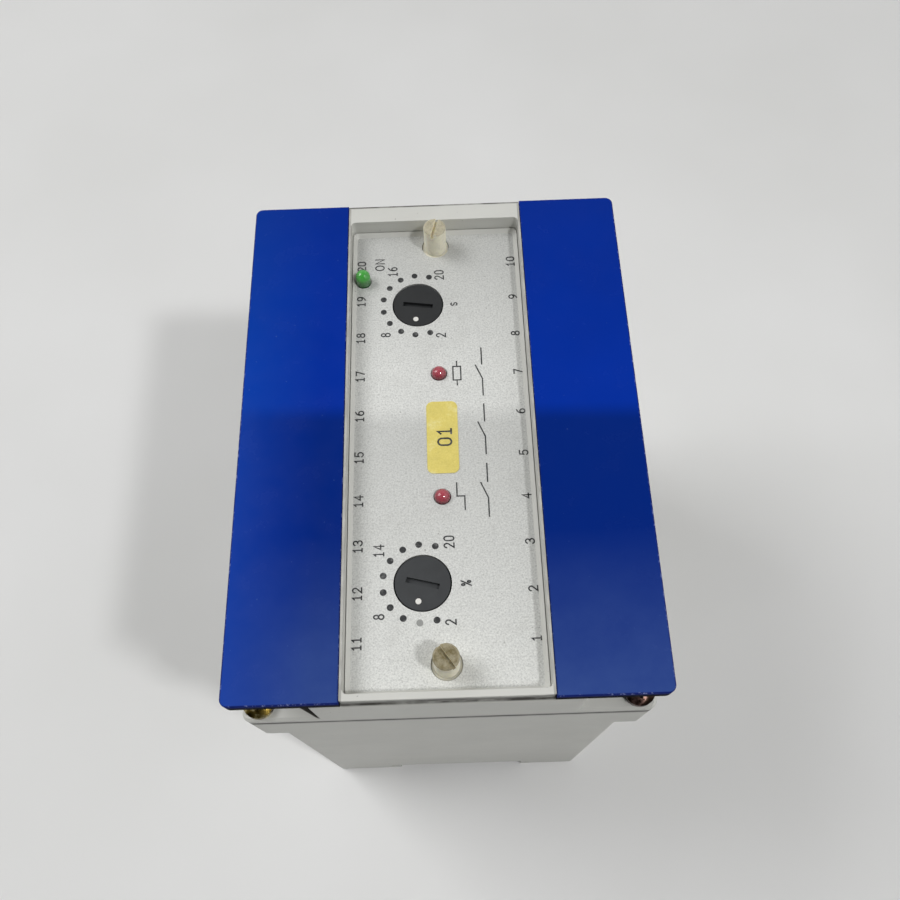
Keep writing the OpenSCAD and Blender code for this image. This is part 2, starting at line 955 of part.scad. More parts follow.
module front_board() {
    color(board_green)
        translate([0, layout_y, 0])
            difference() {
                translate([0, 0, front_board_z])
                    plate(front_board_w, front_board_l, board_t, board_r);
                at_board_screws(front_screw_at, front_board_z - over)
                    cylinder(d = pilot_d, h = board_t + 2 * over);
                lamp_leg_holes(green_at[0], green_at[1]);
                for (y = [-1, 1])
                    lamp_leg_holes(0, y * red_y);
            }
}

// Square trimmer with a round bore for the dial's shaft
module potentiometer() {
    cap_h = 0.8;
    bore_d = knob_shaft_d + 2 * running;
    color("#2f5f9f")
        difference() {
            union() {
                translate([0, 0, front_board_top])
                    plate(pot_w, pot_w, pot_top - cap_h - front_board_top, 0.8);
                translate([0, 0, front_board_top])
                    cylinder(d = pot_w - 1, h = pot_top - front_board_top);
            }
            translate([0, 0, shaft_end - slide_gap])
                cylinder(d = bore_d, h = pot_top);
        }
}

module time_potentiometer() {
    translate([knob_x, layout_y + knob_y, 0])
        potentiometer();
}

module level_potentiometer() {
    translate([knob_x, layout_y - knob_y, 0])
        potentiometer();
}

// Two-row chip under the front board
module chip() {
    leg_t = 0.5;
    stand = 0.6;
    translate([0, 0, -stand - chip_size[2] / 2])
        cube(chip_size, center = true);
    for (s = [-1, 1], i = [0 : chip_legs - 1])
        translate([s * chip_size[0] / 2, (i - (chip_legs - 1) / 2) * chip_leg_gap, -stand - chip_size[2] / 4])
            translate([-leg_t / 2, -leg_t / 2, -leg_t])
                cube([leg_t, leg_t, stand + chip_size[2] / 4 + leg_t]);
}

module chips() {
    color("#232427")
        for (y = [-1, 1])
            translate([chip_at[0], layout_y + y * chip_at[1], front_board_z])
                chip();
}

// Pin header that joins the two boards
module board_link() {
    color("#202124")
        box([-1, 1] * link_size[0] / 2, [-1, 1] * link_size[1] / 2, [main_board_top, front_board_z]);
}

module main_board() {
    color(board_green)
        difference() {
            translate([0, 0, main_board_z])
                plate(main_board_w, main_board_l, board_t, board_r);
            at_board_screws(main_screw_at, main_board_z - over)
                cylinder(d = pilot_d, h = board_t + 2 * over);
            for (s = [0, 1])
                mirror([s, 0, 0])
                    at_terminals(tail_x + tail_t / 2, main_board_z)
                        cube([tail_t + 2 * tail_gap, tail_w + 2 * tail_gap, 4 * board_t], center = true);
        }
}

// Laminated core with two windows, its face against the main board
module transformer_core() {
    color("#55585c")
        translate([transformer_at[0], transformer_at[1], main_board_z - core_h])
            rotate([90, 0, 0])
                linear_extrude(stack_l, center = true)
                    difference() {
                        translate([-lamination_w / 2, 0])
                            square([lamination_w, core_h]);
                        for (s = [-1, 1])
                            translate([s * (leg_w + coil_window / 2), core_h / 2])
                                square([coil_window, window_h], center = true);
                    }
}

// Winding on its flanged bobbin round the core's middle leg
module transformer_winding() {
    flange_t = 1.2;
    reach = coil_window - fit;
    coil = reach - 0.8;
    h = window_h - 2 * fit;
    leg = [2 * leg_w, stack_l];
    color("#b5652a")
        translate([transformer_at[0], transformer_at[1], main_board_z - core_h / 2])
            difference() {
                union() {
                    linear_extrude(h, center = true)
                        rounded(leg[0] + 2 * coil, leg[1] + 2 * coil, 2);
                    for (s = [-1, 1])
                        translate([0, 0, s * (h - flange_t) / 2])
                            cube([leg[0] + 2 * reach, leg[1] + 2 * reach, flange_t], center = true);
                }
                cube([leg[0] + 2 * fit, leg[1] + 2 * fit, 2 * h], center = true);
            }
}

// Ring core in a resin case
module current_transformer() {
    r = 2;
    color("#26282b")
        translate([ct_at[0], ct_at[1], main_board_z - ct_h])
            rotate_extrude()
                translate([(ct_d + ct_bore) / 4, ct_h / 2])
                    rounded((ct_d - ct_bore) / 2, ct_h, r);
}

module output_relay() {
    color("#d8d4c4")
        translate([relay_at[0], relay_at[1], main_board_z - relay_size[2]])
            chamfered(relay_size[0], relay_size[1], relay_size[2], 1, edge, top = false, bottom = true);
}

// Can with a rolled groove near its seat
module capacitor() {
    groove = 0.6;
    groove_z = capacitor_h - capacitor_groove;
    rotate_extrude()
        difference() {
            square([capacitor_d / 2, capacitor_h]);
            translate([capacitor_d / 2, groove_z])
                circle(groove);
        }
}

module capacitors() {
    color("#27406e")
        for (s = [-1, 1])
            translate([s * capacitor_at[0], capacitor_at[1], main_board_z - capacitor_h])
                capacitor();
}

// Screws from below through each board into its bosses
module board_screws() {
    head_d = 3.8;
    head_h = 1.5;
    length = board_t + 2.4;
    color("silver") {
        translate([0, layout_y, 0])
            at_board_screws(front_screw_at, front_board_z)
                rotate([180, 0, 0])
                    pan_screw(board_screw_d, length, head_d, head_h);
        at_board_screws(main_screw_at, main_board_z)
            rotate([180, 0, 0])
                pan_screw(board_screw_d, length, head_d, head_h);
    }
}

lower_case();
rail_latch();
latch_spring();
upper_case();
case_screws();
panel_frame();
front_panel();
panel_bead();
yellow_label();
time_knob();
level_knob();
green_led();
upper_red_led();
lower_red_led();
upper_post();
lower_post();
left_cover();
right_cover();
left_terminal_block();
right_terminal_block();
left_terminal_bars();
right_terminal_bars();
left_clamp_washers();
right_clamp_washers();
left_terminal_screws();
right_terminal_screws();
front_board();
time_potentiometer();
level_potentiometer();
chips();
board_link();
main_board();
transformer_core();
transformer_winding();
current_transformer();
output_relay();
capacitors();
board_screws();
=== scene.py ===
"""Finishes, printed scales, grime, painted shade and studio light for a rail-mounted protection relay."""

import math

import bmesh
import bpy
from mathutils import Matrix, Vector


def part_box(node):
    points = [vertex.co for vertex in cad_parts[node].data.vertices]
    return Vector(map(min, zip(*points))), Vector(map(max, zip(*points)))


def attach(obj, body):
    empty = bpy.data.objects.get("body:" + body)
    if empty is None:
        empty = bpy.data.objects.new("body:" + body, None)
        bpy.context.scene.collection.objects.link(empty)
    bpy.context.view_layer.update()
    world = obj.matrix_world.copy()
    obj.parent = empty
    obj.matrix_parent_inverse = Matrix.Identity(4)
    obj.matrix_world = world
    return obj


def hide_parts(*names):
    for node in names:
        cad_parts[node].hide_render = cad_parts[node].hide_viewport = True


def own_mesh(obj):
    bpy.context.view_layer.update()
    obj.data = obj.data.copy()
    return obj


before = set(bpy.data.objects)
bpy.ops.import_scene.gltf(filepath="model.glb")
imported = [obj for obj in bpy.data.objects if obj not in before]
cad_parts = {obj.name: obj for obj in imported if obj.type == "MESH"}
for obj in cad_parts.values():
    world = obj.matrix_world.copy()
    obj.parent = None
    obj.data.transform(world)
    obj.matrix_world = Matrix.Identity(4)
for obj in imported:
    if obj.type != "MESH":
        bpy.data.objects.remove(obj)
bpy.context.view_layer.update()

bl_info = {
    "name": "Protection relay looks",
    "version": (1, 0, 0),
    "blender": (4, 5, 0),
    "location": "View3D > Sidebar > Relay",
    "description": "Dresses a rail-mounted protection relay and lights it",
    "category": "Object",
}

MM = 0.001
# Bands that a wave texture draws in a unit of length at a scale of one
WAVES = 20 / math.tau
CASE = "case"
PANEL_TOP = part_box("front_panel")[1].z
SEAM_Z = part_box("lower_case")[1].z
POST_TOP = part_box("upper_post")[1].z
CASE_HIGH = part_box("upper_case")[1]
# The deck beside the raised block, and half the block's width
DECK_TOP = SEAM_Z + 3.0 * MM
BLOCK_HALF = 23.8 * MM
FRAME_LOW, FRAME_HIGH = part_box("panel_frame")
COVER_LOW, COVER_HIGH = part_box("right_cover")


def middle(node):
    """Centre of a node's box at rest."""
    low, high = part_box(node)
    return (low + high) / 2


def linear(code):
    """Linear colour of an sRGB hex code."""
    parts = [int(code[i:i + 2], 16) / 255 for i in (1, 3, 5)]
    return tuple(p / 12.92 if p <= 0.04045 else ((p + 0.055) / 1.055) ** 2.4 for p in parts)


def rgba(code):
    """The same with full alpha, as sockets take it."""
    return (*linear(code), 1.0)


def per_metre(mm):
    """Texture scale at which one pattern cell has that size in millimetres."""
    return 1 / (mm * MM)


def colour_prop(name, code, description):
    """Colour setting with an sRGB hex default."""
    return bpy.props.FloatVectorProperty(
        name=name, description=description, subtype="COLOR", size=3, min=0, max=1, default=linear(code)
    )


def length_prop(name, mm, description):
    """Length setting with a default in millimetres."""
    return bpy.props.FloatProperty(
        name=name, description=description, unit="LENGTH", default=mm * MM, precision=5
    )


def number_prop(name, value, description):
    """Setting that is a plain number."""
    return bpy.props.FloatProperty(name=name, description=description, default=value)


class RelayFinish(bpy.types.PropertyGroup):
    """Colours of the relay's visible pieces."""

    case: colour_prop("Case", "#d0d0cb", "Grey of the two mouldings and the frame")
    cover: colour_prop("Covers", "#05309f", "Blue of the terminal covers")
    panel: colour_prop("Panel", "#e0e1de", "Silver of the sunk panel")
    label: colour_prop("Label", "#e2d06a", "Yellow of the sticker")
    dial: colour_prop("Dials", "#333537", "Black of the dials")
    nylon: colour_prop("Nylon screws", "#f0ebd6", "Cream of the nylon screws")
    ink: colour_prop("Print", "#2c2d2f", "Black of the printed scales")


class RelayPrint(bpy.types.PropertyGroup):
    """Sizes of the printed scales."""

    digit: length_prop("Dial numerals", 1.75, "Height of the numerals round the dials")
    terminal_digit: length_prop("Terminal numerals", 1.55, "Height of the terminal numbers")
    label_digit: length_prop("Label numerals", 2.5, "Height of the numerals on the sticker")
    stroke: length_prop("Stroke", 0.25, "Width of the printed strokes")
    film: length_prop("Film", 0.02, "Thickness of the printed film")
    dot: length_prop("Dot", 1.2, "Diameter of the scale dots")
    dot_circle: length_prop("Dot circle", 7.06, "Radius of the circle that the scale dots lie on")


class RelayStage(bpy.types.PropertyGroup):
    """Camera and light."""

    lens: number_prop("Lens", 35.22, "Focal length on a 36 mm sensor")
    key: number_prop("Key", 2.45, "Power of the small lamp on the right, in watts")
    fill: number_prop("Fill", 4.8, "Power of the wide lamp on the left, in watts")
    side: number_prop("Side", 2.0, "Power of the wide lamp on the right, in watts")
    sky: number_prop("Ceiling", 0.53, "Strength of the even light")


# Shader building


def feed(tree, node, inputs):
    """Sets a node's inputs, each to a value, to a socket or to another node's first output."""
    for key, value in inputs.items():
        if isinstance(value, bpy.types.Node):
            value = next(socket for socket in value.outputs if socket.enabled)
        if isinstance(value, bpy.types.NodeSocket):
            tree.links.new(value, node.inputs[key])
        else:
            node.inputs[key].default_value = value


def add(tree, kind, inputs=None, stops=(), **settings):
    """One shader node with its settings, input values or links, and colour stops."""
    made = tree.nodes.new("ShaderNode" + kind)
    for key, value in settings.items():
        setattr(made, key, value)
    feed(tree, made, inputs or {})
    if stops:
        ramp = made.color_ramp
        while len(ramp.elements) < len(stops):
            ramp.elements.new(0.5)
        for element, (place, colour) in zip(ramp.elements, stops):
            element.position = place
            element.color = colour
    return made


def begin(name, **values):
    """New material with its shader's uniform values; gives it, its tree, its shader and rest coordinates."""
    material = bpy.data.materials.new(name)
    material.use_nodes = True
    tree = material.node_tree
    shader = tree.nodes["Principled BSDF"]
    feed(tree, shader, {key.replace("_", " "): value for key, value in values.items()})
    place = add(tree, "TexCoord").outputs["Object"]
    return material, tree, shader, place


def shade(colour, factor):
    """A colour made darker or lighter, with full alpha."""
    return (*(min(1.0, c * factor) for c in colour), 1.0)


def near(tree, value, level, inner, outer):
    """One where a coordinate is within the inner distance of a level, none past the outer, both in mm."""
    apart = add(tree, "Math", {0: value, 1: level}, operation="SUBTRACT")
    apart = add(tree, "Math", {0: apart}, operation="ABSOLUTE")
    reach = {"From Min": inner * MM, "From Max": outer * MM}
    return add(tree, "MapRange", {"Value": apart, **reach, "To Min": 1.0, "To Max": 0.0})


def dress(material, *nodes):
    """Gives CAD nodes a material."""
    for name in nodes:
        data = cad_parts[name].data
        data.materials.clear()
        data.materials.append(material)


# Materials


def corner_shadow(tree, x, y, z):
    """Mask of the painted shadow on the deck: black wedges that the raised block casts in the left corners
    beside it.
    """
    # The wedge's slanting edge meets the block's side close to the end of the deck
    slope = 1.7
    limit = BLOCK_HALF - 0.4 * MM + slope * (CASE_HIGH.y - 0.2 * MM)
    left = add(tree, "Math", {0: x, 1: -1.0}, operation="MULTIPLY")
    along = add(tree, "Math", {0: y}, operation="ABSOLUTE")
    reach = add(tree, "Math", {0: along, 1: slope, 2: left}, operation="MULTIPLY_ADD")
    fade = {"From Min": limit, "From Max": limit + 0.15 * MM}
    wedge = add(tree, "MapRange", {"Value": reach, **fade, "To Min": 1.0, "To Max": 0.0})
    foot = {"From Min": BLOCK_HALF - 0.8 * MM, "From Max": BLOCK_HALF - 0.6 * MM}
    beside = add(tree, "MapRange", {"Value": left, **foot})
    for bound in (beside, near(tree, z, DECK_TOP, 0.1, 0.4)):
        wedge = add(tree, "Math", {0: wedge, 1: bound}, operation="MULTIPLY")
    return wedge


def case_grime_and_shade(tree, place):
    """Mask of the grime and painted shade on the case: grime in its seam, round its frame and in loose
    specks, a dark band beside the seam, painted shade with grime on the frame's long rims, and painted
    shadows in the left corners.
    """
    x, y, z = add(tree, "SeparateXYZ", {"Vector": place}).outputs
    across = add(tree, "Math", {0: x}, operation="ABSOLUTE")
    half = FRAME_HIGH.x / MM
    # Darker beside the seam, grime on the frame's near face and its far edge, and painted shade with grime on
    # its long rims:
    # how dark each of them gets, and the coordinates it lies near, with their levels and fading distances
    grimy_and_shaded = 0.0
    for strength, *bounds in (
        (0.45, (z, SEAM_Z, 0.7, 2.0)),
        (1.0, (y, FRAME_LOW.y, 0.2, 0.4), (z, CASE_HIGH.z, 1.5, 2.6), (x, 0.0, half, half + 0.5)),
        (1.0, (y, FRAME_HIGH.y, 0.15, 0.45), (z, FRAME_HIGH.z, 0.15, 0.5)),
        (0.45, (across, FRAME_HIGH.x, 0.35, 0.5), (z, FRAME_HIGH.z, 1.5, 3.0)),
    ):
        spot = strength
        for bound in bounds:
            spot = add(tree, "Math", {0: spot, 1: near(tree, *bound)}, operation="MULTIPLY")
        grimy_and_shaded = add(tree, "Math", {0: grimy_and_shaded, 1: spot}, operation="MAXIMUM")
    smear = add(tree, "Mapping", {"Vector": place, "Scale": (0.3, 0.3, 1.0)})
    lumps = add(tree, "TexNoise", {"Vector": smear, "Scale": per_metre(1.2), "Detail": 3, "Roughness": 0.55})
    patchy = add(
        tree, "MapRange", {"Value": lumps, "From Min": 0.35, "From Max": 0.6, "To Min": 0.45, "To Max": 0.95}
    )
    dirt_and_shade = add(tree, "Math", {0: grimy_and_shaded, 1: patchy}, operation="MULTIPLY")
    # The seam itself is packed, and specks lie over the flat faces
    packed = add(tree, "MapRange", {"Value": patchy, "To Min": 0.7, "To Max": 1.0})
    joint = add(tree, "Math", {0: near(tree, z, SEAM_Z, 0.6, 0.85), 1: packed}, operation="MULTIPLY")
    grit = add(tree, "TexNoise", {"Vector": place, "Scale": per_metre(0.7), "Detail": 1, "Roughness": 0.3})
    specks = add(tree, "MapRange", {"Value": grit, "From Min": 0.78, "From Max": 0.82, "To Max": 0.4})
    # The painted shadow in the left corners joins them too
    for more in (joint, corner_shadow(tree, x, y, z), specks):
        dirt_and_shade = add(tree, "Math", {0: dirt_and_shade, 1: more}, operation="MAXIMUM", use_clamp=True)
    return dirt_and_shade


def abs_grey_moulded(colour):
    """Grey ABS from an etched mould: satin, fine grain, faint patches, grime in its seams, painted shade with
    grime on its rims and painted shadows in its left corners.
    """
    material, tree, shader, place = begin("abs_grey_moulded", Roughness=0.55, IOR=1.53)
    blotch = add(tree, "TexNoise", {"Vector": place, "Scale": per_metre(16), "Detail": 4, "Roughness": 0.6})
    tones = [(0.3, shade(colour, 0.95)), (0.55, shade(colour, 1.0)), (0.75, shade(colour, 1.03))]
    clean = add(tree, "ValToRGB", {"Fac": blotch}, tones)
    dirt_and_shade = case_grime_and_shade(tree, place)
    # Grime and painted shade darken the case to one dark colour
    base = add(tree, "Mix", {"Factor": dirt_and_shade, "A": clean, "B": rgba("#35322c")}, data_type="RGBA")
    skin = add(tree, "TexNoise", {"Vector": place, "Scale": per_metre(0.35), "Detail": 3})
    bump = add(tree, "Bump", {"Height": skin, "Strength": 0.18, "Distance": 0.05 * MM})
    feed(tree, shader, {"Base Color": base, "Normal": bump})
    return material


def cover_face(tree, colour, place, x, y):
    """Colour of a cover's face: clouded, with painted shade on its near half and far end and painted light on
    one side, dusty towards its near end.
    """
    cloud = add(tree, "TexNoise", {"Vector": place, "Scale": per_metre(30), "Detail": 3, "Roughness": 0.55})
    unshaded_blue = add(tree, "ValToRGB", {"Fac": cloud}, [(0.35, shade(colour, 0.94)), (0.7, shade(colour, 1.05))])
    # Painted shade darkens the near half from a line slightly aslant, and the far end a little
    aslant = add(tree, "Math", {0: x, 1: 0.03, 2: y}, operation="MULTIPLY_ADD")
    line = {"From Min": -0.5 * MM, "From Max": 4.0 * MM, "To Min": 1.0, "To Max": 0.0}
    painted_dimming = add(tree, "MapRange", {"Value": aslant, **line}, interpolation_type="SMOOTHSTEP")
    far = add(tree, "MapRange", {"Value": y, "From Min": 12 * MM, "From Max": COVER_HIGH.y, "To Max": 0.5})
    # Painted light: the left cover's outer side is lighter blue and takes less of the painted shade and dust
    width = {"From Min": -COVER_HIGH.x, "From Max": -COVER_LOW.x - 4 * MM}
    side = add(tree, "MapRange", {"Value": x, **width, "To Min": 0.3})
    outer = add(tree, "MapRange", {"Value": side, "To Min": 0.45, "To Max": 0.0})
    painted_dimming = add(tree, "Math", {0: painted_dimming, 1: side}, operation="MULTIPLY")
    painted_dimming = add(tree, "Math", {0: painted_dimming, 1: far}, operation="MAXIMUM")
    # Dust settles towards the near end and in small specks
    end = {"From Min": COVER_LOW.y, "From Max": -22 * MM}
    film = add(tree, "MapRange", {"Value": y, **end, "To Min": 0.12, "To Max": 0.0})
    wipes = add(tree, "TexNoise", {"Vector": place, "Scale": per_metre(9), "Detail": 5, "Roughness": 0.65})
    wiped = add(
        tree, "MapRange", {"Value": wipes, "From Min": 0.35, "From Max": 0.7, "To Min": 0.8, "To Max": 1.15}
    )
    for share in (wiped, side):
        film = add(tree, "Math", {0: film, 1: share}, operation="MULTIPLY")
    grit = add(tree, "TexNoise", {"Vector": place, "Scale": per_metre(0.5), "Detail": 1, "Roughness": 0.2})
    specks = add(tree, "MapRange", {"Value": grit, "From Min": 0.8, "From Max": 0.83, "To Max": 0.12})
    dust = add(tree, "Math", {0: film, 1: specks}, operation="MAXIMUM")
    face = unshaded_blue
    for share, code in ((outer, "#1455bd"), (painted_dimming, "#04267b"), (dust, "#8fb4e6")):
        face = add(tree, "Mix", {"Factor": share, "A": face, "B": rgba(code)}, data_type="RGBA")
    return face


def sawn_edge(tree, place, z):
    """Colour of a cover's edge: painted shade with grime, nearly black at its foot, with pale chips along the
    upper arris.
    """
    # Painted shade with grime: the sawn sides darken to nearly black towards their foot on the case
    rise = {"From Min": CASE_HIGH.z + 1.0 * MM, "From Max": COVER_HIGH.z - 0.6 * MM}
    tones = [(0.0, rgba("#070916")), (0.5, rgba("#0d1542")), (1.0, rgba("#12236f"))]
    sawn = add(tree, "ValToRGB", {"Fac": add(tree, "MapRange", {"Value": z, **rise})}, tones)
    flakes = add(tree, "TexNoise", {"Vector": place, "Scale": per_metre(0.8), "Detail": 3, "Roughness": 0.6})
    chipped = add(tree, "MapRange", {"Value": flakes, "From Min": 0.56, "From Max": 0.64, "To Max": 0.75})
    arris = near(tree, z, COVER_HIGH.z, 0.15, 0.35)
    chips = add(tree, "Math", {0: chipped, 1: arris}, operation="MULTIPLY")
    return add(tree, "Mix", {"Factor": chips, "A": sawn, "B": rgba("#8f9bcc")}, data_type="RGBA")


def acrylic_blue_polished(colour):
    """Tinted acrylic sheet with rough sawn edges: deep colour and clear gloss, painted shade on its near half
    and sawn sides.
    """
    # Handling has left less gloss than new acrylic has
    material, tree, shader, place = begin("acrylic_blue_polished", IOR=1.33, Specular_IOR_Level=0.22)
    x, y, z = add(tree, "SeparateXYZ", {"Vector": place}).outputs
    brink = {"From Min": COVER_HIGH.z - 0.2 * MM, "From Max": COVER_HIGH.z - 0.04 * MM}
    edge = add(tree, "MapRange", {"Value": z, **brink, "To Min": 1.0, "To Max": 0.0})
    for value, level in ((x, COVER_HIGH.x), (y, COVER_HIGH.y)):
        away = add(tree, "Math", {0: value}, operation="ABSOLUTE")
        side = near(tree, away, level, 0.12, 0.32)
        edge = add(tree, "Math", {0: edge, 1: side}, operation="MAXIMUM")
    face = cover_face(tree, colour, place, x, y)
    sawn = sawn_edge(tree, place, z)
    base = add(tree, "Mix", {"Factor": edge, "A": face, "B": sawn}, data_type="RGBA")
    haze = add(tree, "TexNoise", {"Vector": place, "Scale": per_metre(6), "Detail": 4, "Roughness": 0.6})
    rough = add(
        tree, "MapRange", {"Value": haze, "From Min": 0.3, "From Max": 0.75, "To Min": 0.16, "To Max": 0.32}
    )
    rough = add(tree, "Math", {0: rough, 1: edge}, operation="MAXIMUM")
    hairs = add(tree, "Mapping", {"Vector": place, "Scale": (1.0, 0.05, 1.0), "Rotation": (0, 0, 0.5)})
    scratches = add(tree, "TexNoise", {"Vector": hairs, "Scale": per_metre(0.5)})
    bump = add(tree, "Bump", {"Height": scratches, "Strength": 0.03, "Distance": 0.02 * MM})
    feed(tree, shader, {"Base Color": base, "Roughness": rough, "Normal": bump})
    return material


def aluminium_silver_grained(colour):
    """Etched aluminium under silver lacquer: pale, satin, its fine glitter drawn coarse enough to show,
    painted shade over its far end and near half.
    """
    material, tree, shader, place = begin("aluminium_silver_grained", Metallic=0.15)
    glitter = add(tree, "TexNoise", {"Vector": place, "Scale": per_metre(0.32), "Roughness": 0.8})
    tones = [(0.25, shade(colour, 0.7)), (0.5, shade(colour, 0.99)), (0.75, shade(colour, 1.2))]
    base = add(tree, "ValToRGB", {"Fac": glitter}, tones)
    rubs = add(tree, "TexNoise", {"Vector": place, "Scale": per_metre(7), "Detail": 5, "Roughness": 0.65})
    worn = add(tree, "MapRange", {"Value": rubs, "From Min": 0.55, "From Max": 0.8, "To Max": 0.16})
    # Painted shade greys the far end, and the near half from a line across its middle
    y = add(tree, "SeparateXYZ", {"Vector": place}).outputs["Y"]
    far = add(tree, "MapRange", {"Value": y, "From Min": 13 * MM, "From Max": 38 * MM, "To Max": 0.3})
    line = {"From Min": 1 * MM, "From Max": 5 * MM, "To Min": 1.0, "To Max": 0.0}
    fade = {"From Min": -42 * MM, "From Max": -5 * MM, "To Min": 0.04, "To Max": 0.26}
    film, fading = (add(tree, "MapRange", {"Value": y, **ends}) for ends in (line, fade))
    film = add(tree, "Math", {0: film, 1: fading}, operation="MULTIPLY")
    film = add(tree, "Math", {0: far, 1: film}, operation="MAXIMUM")
    grit = add(tree, "TexNoise", {"Vector": place, "Scale": per_metre(0.6), "Detail": 1, "Roughness": 0.2})
    specks = add(tree, "MapRange", {"Value": grit, "From Min": 0.79, "From Max": 0.82, "To Max": 0.45})
    for share, code in ((worn, "#9c9a92"), (film, "#848583"), (specks, "#6d6a64")):
        base = add(tree, "Mix", {"Factor": share, "A": base, "B": rgba(code)}, data_type="RGBA")
    rough = add(
        tree, "MapRange", {"Value": glitter, "From Min": 0.3, "From Max": 0.7, "To Min": 0.38, "To Max": 0.58}
    )
    bump = add(tree, "Bump", {"Height": glitter, "Strength": 0.35, "Distance": 0.03 * MM})
    feed(tree, shader, {"Base Color": base, "Roughness": rough, "Normal": bump})
    return material


def paper_yellow_sticker(colour):
    """Coated paper sticker: flat yellow, rubbed paler in places, with fine fibres."""
    material, tree, shader, place = begin("paper_yellow_sticker", Roughness=0.62, IOR=1.5)
    rubbed = add(tree, "TexNoise", {"Vector": place, "Scale": per_metre(2.6), "Detail": 5, "Roughness": 0.65})
    tones = [(0.3, shade(colour, 0.9)), (0.55, shade(colour, 1.0)), (0.78, rgba("#ece3a4"))]
    coat = add(tree, "ValToRGB", {"Fac": rubbed}, tones)
    fibre = add(tree, "TexNoise", {"Vector": place, "Scale": per_metre(0.25), "Detail": 3})
    pulp = add(tree, "ValToRGB", {"Fac": fibre}, [(0.3, rgba("#a89a4a")), (0.7, rgba("#fff6c0"))])
    base = add(tree, "Mix", {"Factor": 0.12, "A": coat, "B": pulp}, data_type="RGBA")
    bump = add(tree, "Bump", {"Height": fibre, "Strength": 0.15, "Distance": 0.02 * MM})
    feed(tree, shader, {"Base Color": base, "Normal": bump})
    return material


def moulded_plastic(name, colour, mm, contrast, roughness, strength):
    """Opaque moulded plastic with mottled colour and a grained skin of that size."""
    material, tree, shader, place = begin(name, Roughness=roughness, IOR=1.5)
    lumps = {"Scale": per_metre(8 * mm), "Detail": 4, "Roughness": 0.6}
    mottle = add(tree, "TexNoise", {"Vector": place, **lumps})
    tones = [(0.3, shade(colour, 1 - contrast)), (0.7, shade(colour, 1 + contrast))]
    base = add(tree, "ValToRGB", {"Fac": mottle}, tones)
    skin = add(tree, "TexNoise", {"Vector": place, "Scale": per_metre(mm), "Detail": 3})
    bump = add(tree, "Bump", {"Height": skin, "Strength": strength, "Distance": 0.05 * MM})
    feed(tree, shader, {"Base Color": base, "Normal": bump})
    return material


def epoxy_lens(name, code, deep):
    """Tinted epoxy cast in a smooth mould: wet gloss, light scattered inside, darker at its foot, painted
    shade on its steep sides.
    """
    material, tree, shader, place = begin(
        name, Roughness=0.12, IOR=1.54, Subsurface_Weight=0.5, Subsurface_Scale=1.2 * MM,
        Subsurface_Radius=(1.0, 1.0, 1.0), Coat_Weight=0.3,
    )
    height = add(tree, "SeparateXYZ", {"Vector": place}).outputs["Z"]
    lumps = add(tree, "TexNoise", {"Vector": place, "Scale": per_metre(1.2)})
    swirl = add(tree, "Math", {0: lumps, 1: 0.8 * MM, 2: height}, operation="MULTIPLY_ADD")
    rise = {"From Min": PANEL_TOP - 0.2 * MM, "From Max": PANEL_TOP + 2.2 * MM}
    level = add(tree, "MapRange", {"Value": swirl, **rise})
    # Painted shade: the steep sides are darker, as light comes in from above
    facing = add(tree, "SeparateXYZ", {"Vector": add(tree, "NewGeometry").outputs["Normal"]}).outputs["Z"]
    lit = add(tree, "MapRange", {"Value": facing, "From Max": 0.6, "To Min": 0.45})
    lens_shading = add(tree, "Math", {0: level, 1: lit}, operation="MULTIPLY")
    base = add(tree, "ValToRGB", {"Fac": lens_shading}, [(0.1, rgba(deep)), (0.8, rgba(code))])
    feed(tree, shader, {"Base Color": base})
    return material


def nylon_cream_turned(name, colour, stained, deep):
    """Natural nylon rod, turned: waxy, lit from within, with tool rings and a head stained some mm deep."""
    material, tree, shader, place = begin(
        name, Roughness=0.42, IOR=1.53, Subsurface_Weight=0.35, Subsurface_Scale=1.5 * MM,
        Subsurface_Radius=(1.0, 0.85, 0.55),
    )
    mottle = add(tree, "TexNoise", {"Vector": place, "Scale": per_metre(0.9), "Detail": 5, "Roughness": 0.65})
    tones = [(0.3, shade(colour, 0.86)), (0.5, shade(colour, 1.0)), (0.75, shade(colour, 1.08))]
    base = add(tree, "ValToRGB", {"Fac": mottle}, tones)
    height = add(tree, "SeparateXYZ", {"Vector": place}).outputs["Z"]
    facing = add(tree, "SeparateXYZ", {"Vector": add(tree, "NewGeometry").outputs["Normal"]}).outputs["Z"]
    facing = add(tree, "MapRange", {"Value": facing, "From Min": 0.2, "From Max": 0.8, "To Min": 0.12})
    spots = {"From Min": 0.35, "From Max": 0.65, "To Min": stained, "To Max": 0.75 * stained}
    patchy = add(tree, "MapRange", {"Value": mottle, **spots})
    head = near(tree, height, POST_TOP, deep, deep + 0.7)
    for share in (facing, patchy):
        head = add(tree, "Math", {0: head, 1: share}, operation="MULTIPLY")
    # The collar in the panel is greyed, most on the more stained screw
    foot = {"From Min": PANEL_TOP - 0.1 * MM, "From Max": PANEL_TOP + 0.2 * MM}
    collar_grey = max(0.0, stained - 0.5)
    collar = add(tree, "MapRange", {"Value": height, **foot, "To Min": collar_grey, "To Max": 0.0})
    for share, code in ((head, "#62531d"), (collar, "#6d6b64")):
        base = add(tree, "Mix", {"Factor": share, "A": base, "B": rgba(code)}, data_type="RGBA")
    spacing = {"Scale": per_metre(0.888) / WAVES, "Distortion": 1.5}
    rings = add(tree, "TexWave", {"Vector": place, **spacing}, bands_direction="Z").outputs["Fac"]
    bump = add(tree, "Bump", {"Height": rings, "Strength": 0.1, "Distance": 0.03 * MM})
    feed(tree, shader, {"Base Color": base, "Normal": bump})
    return material


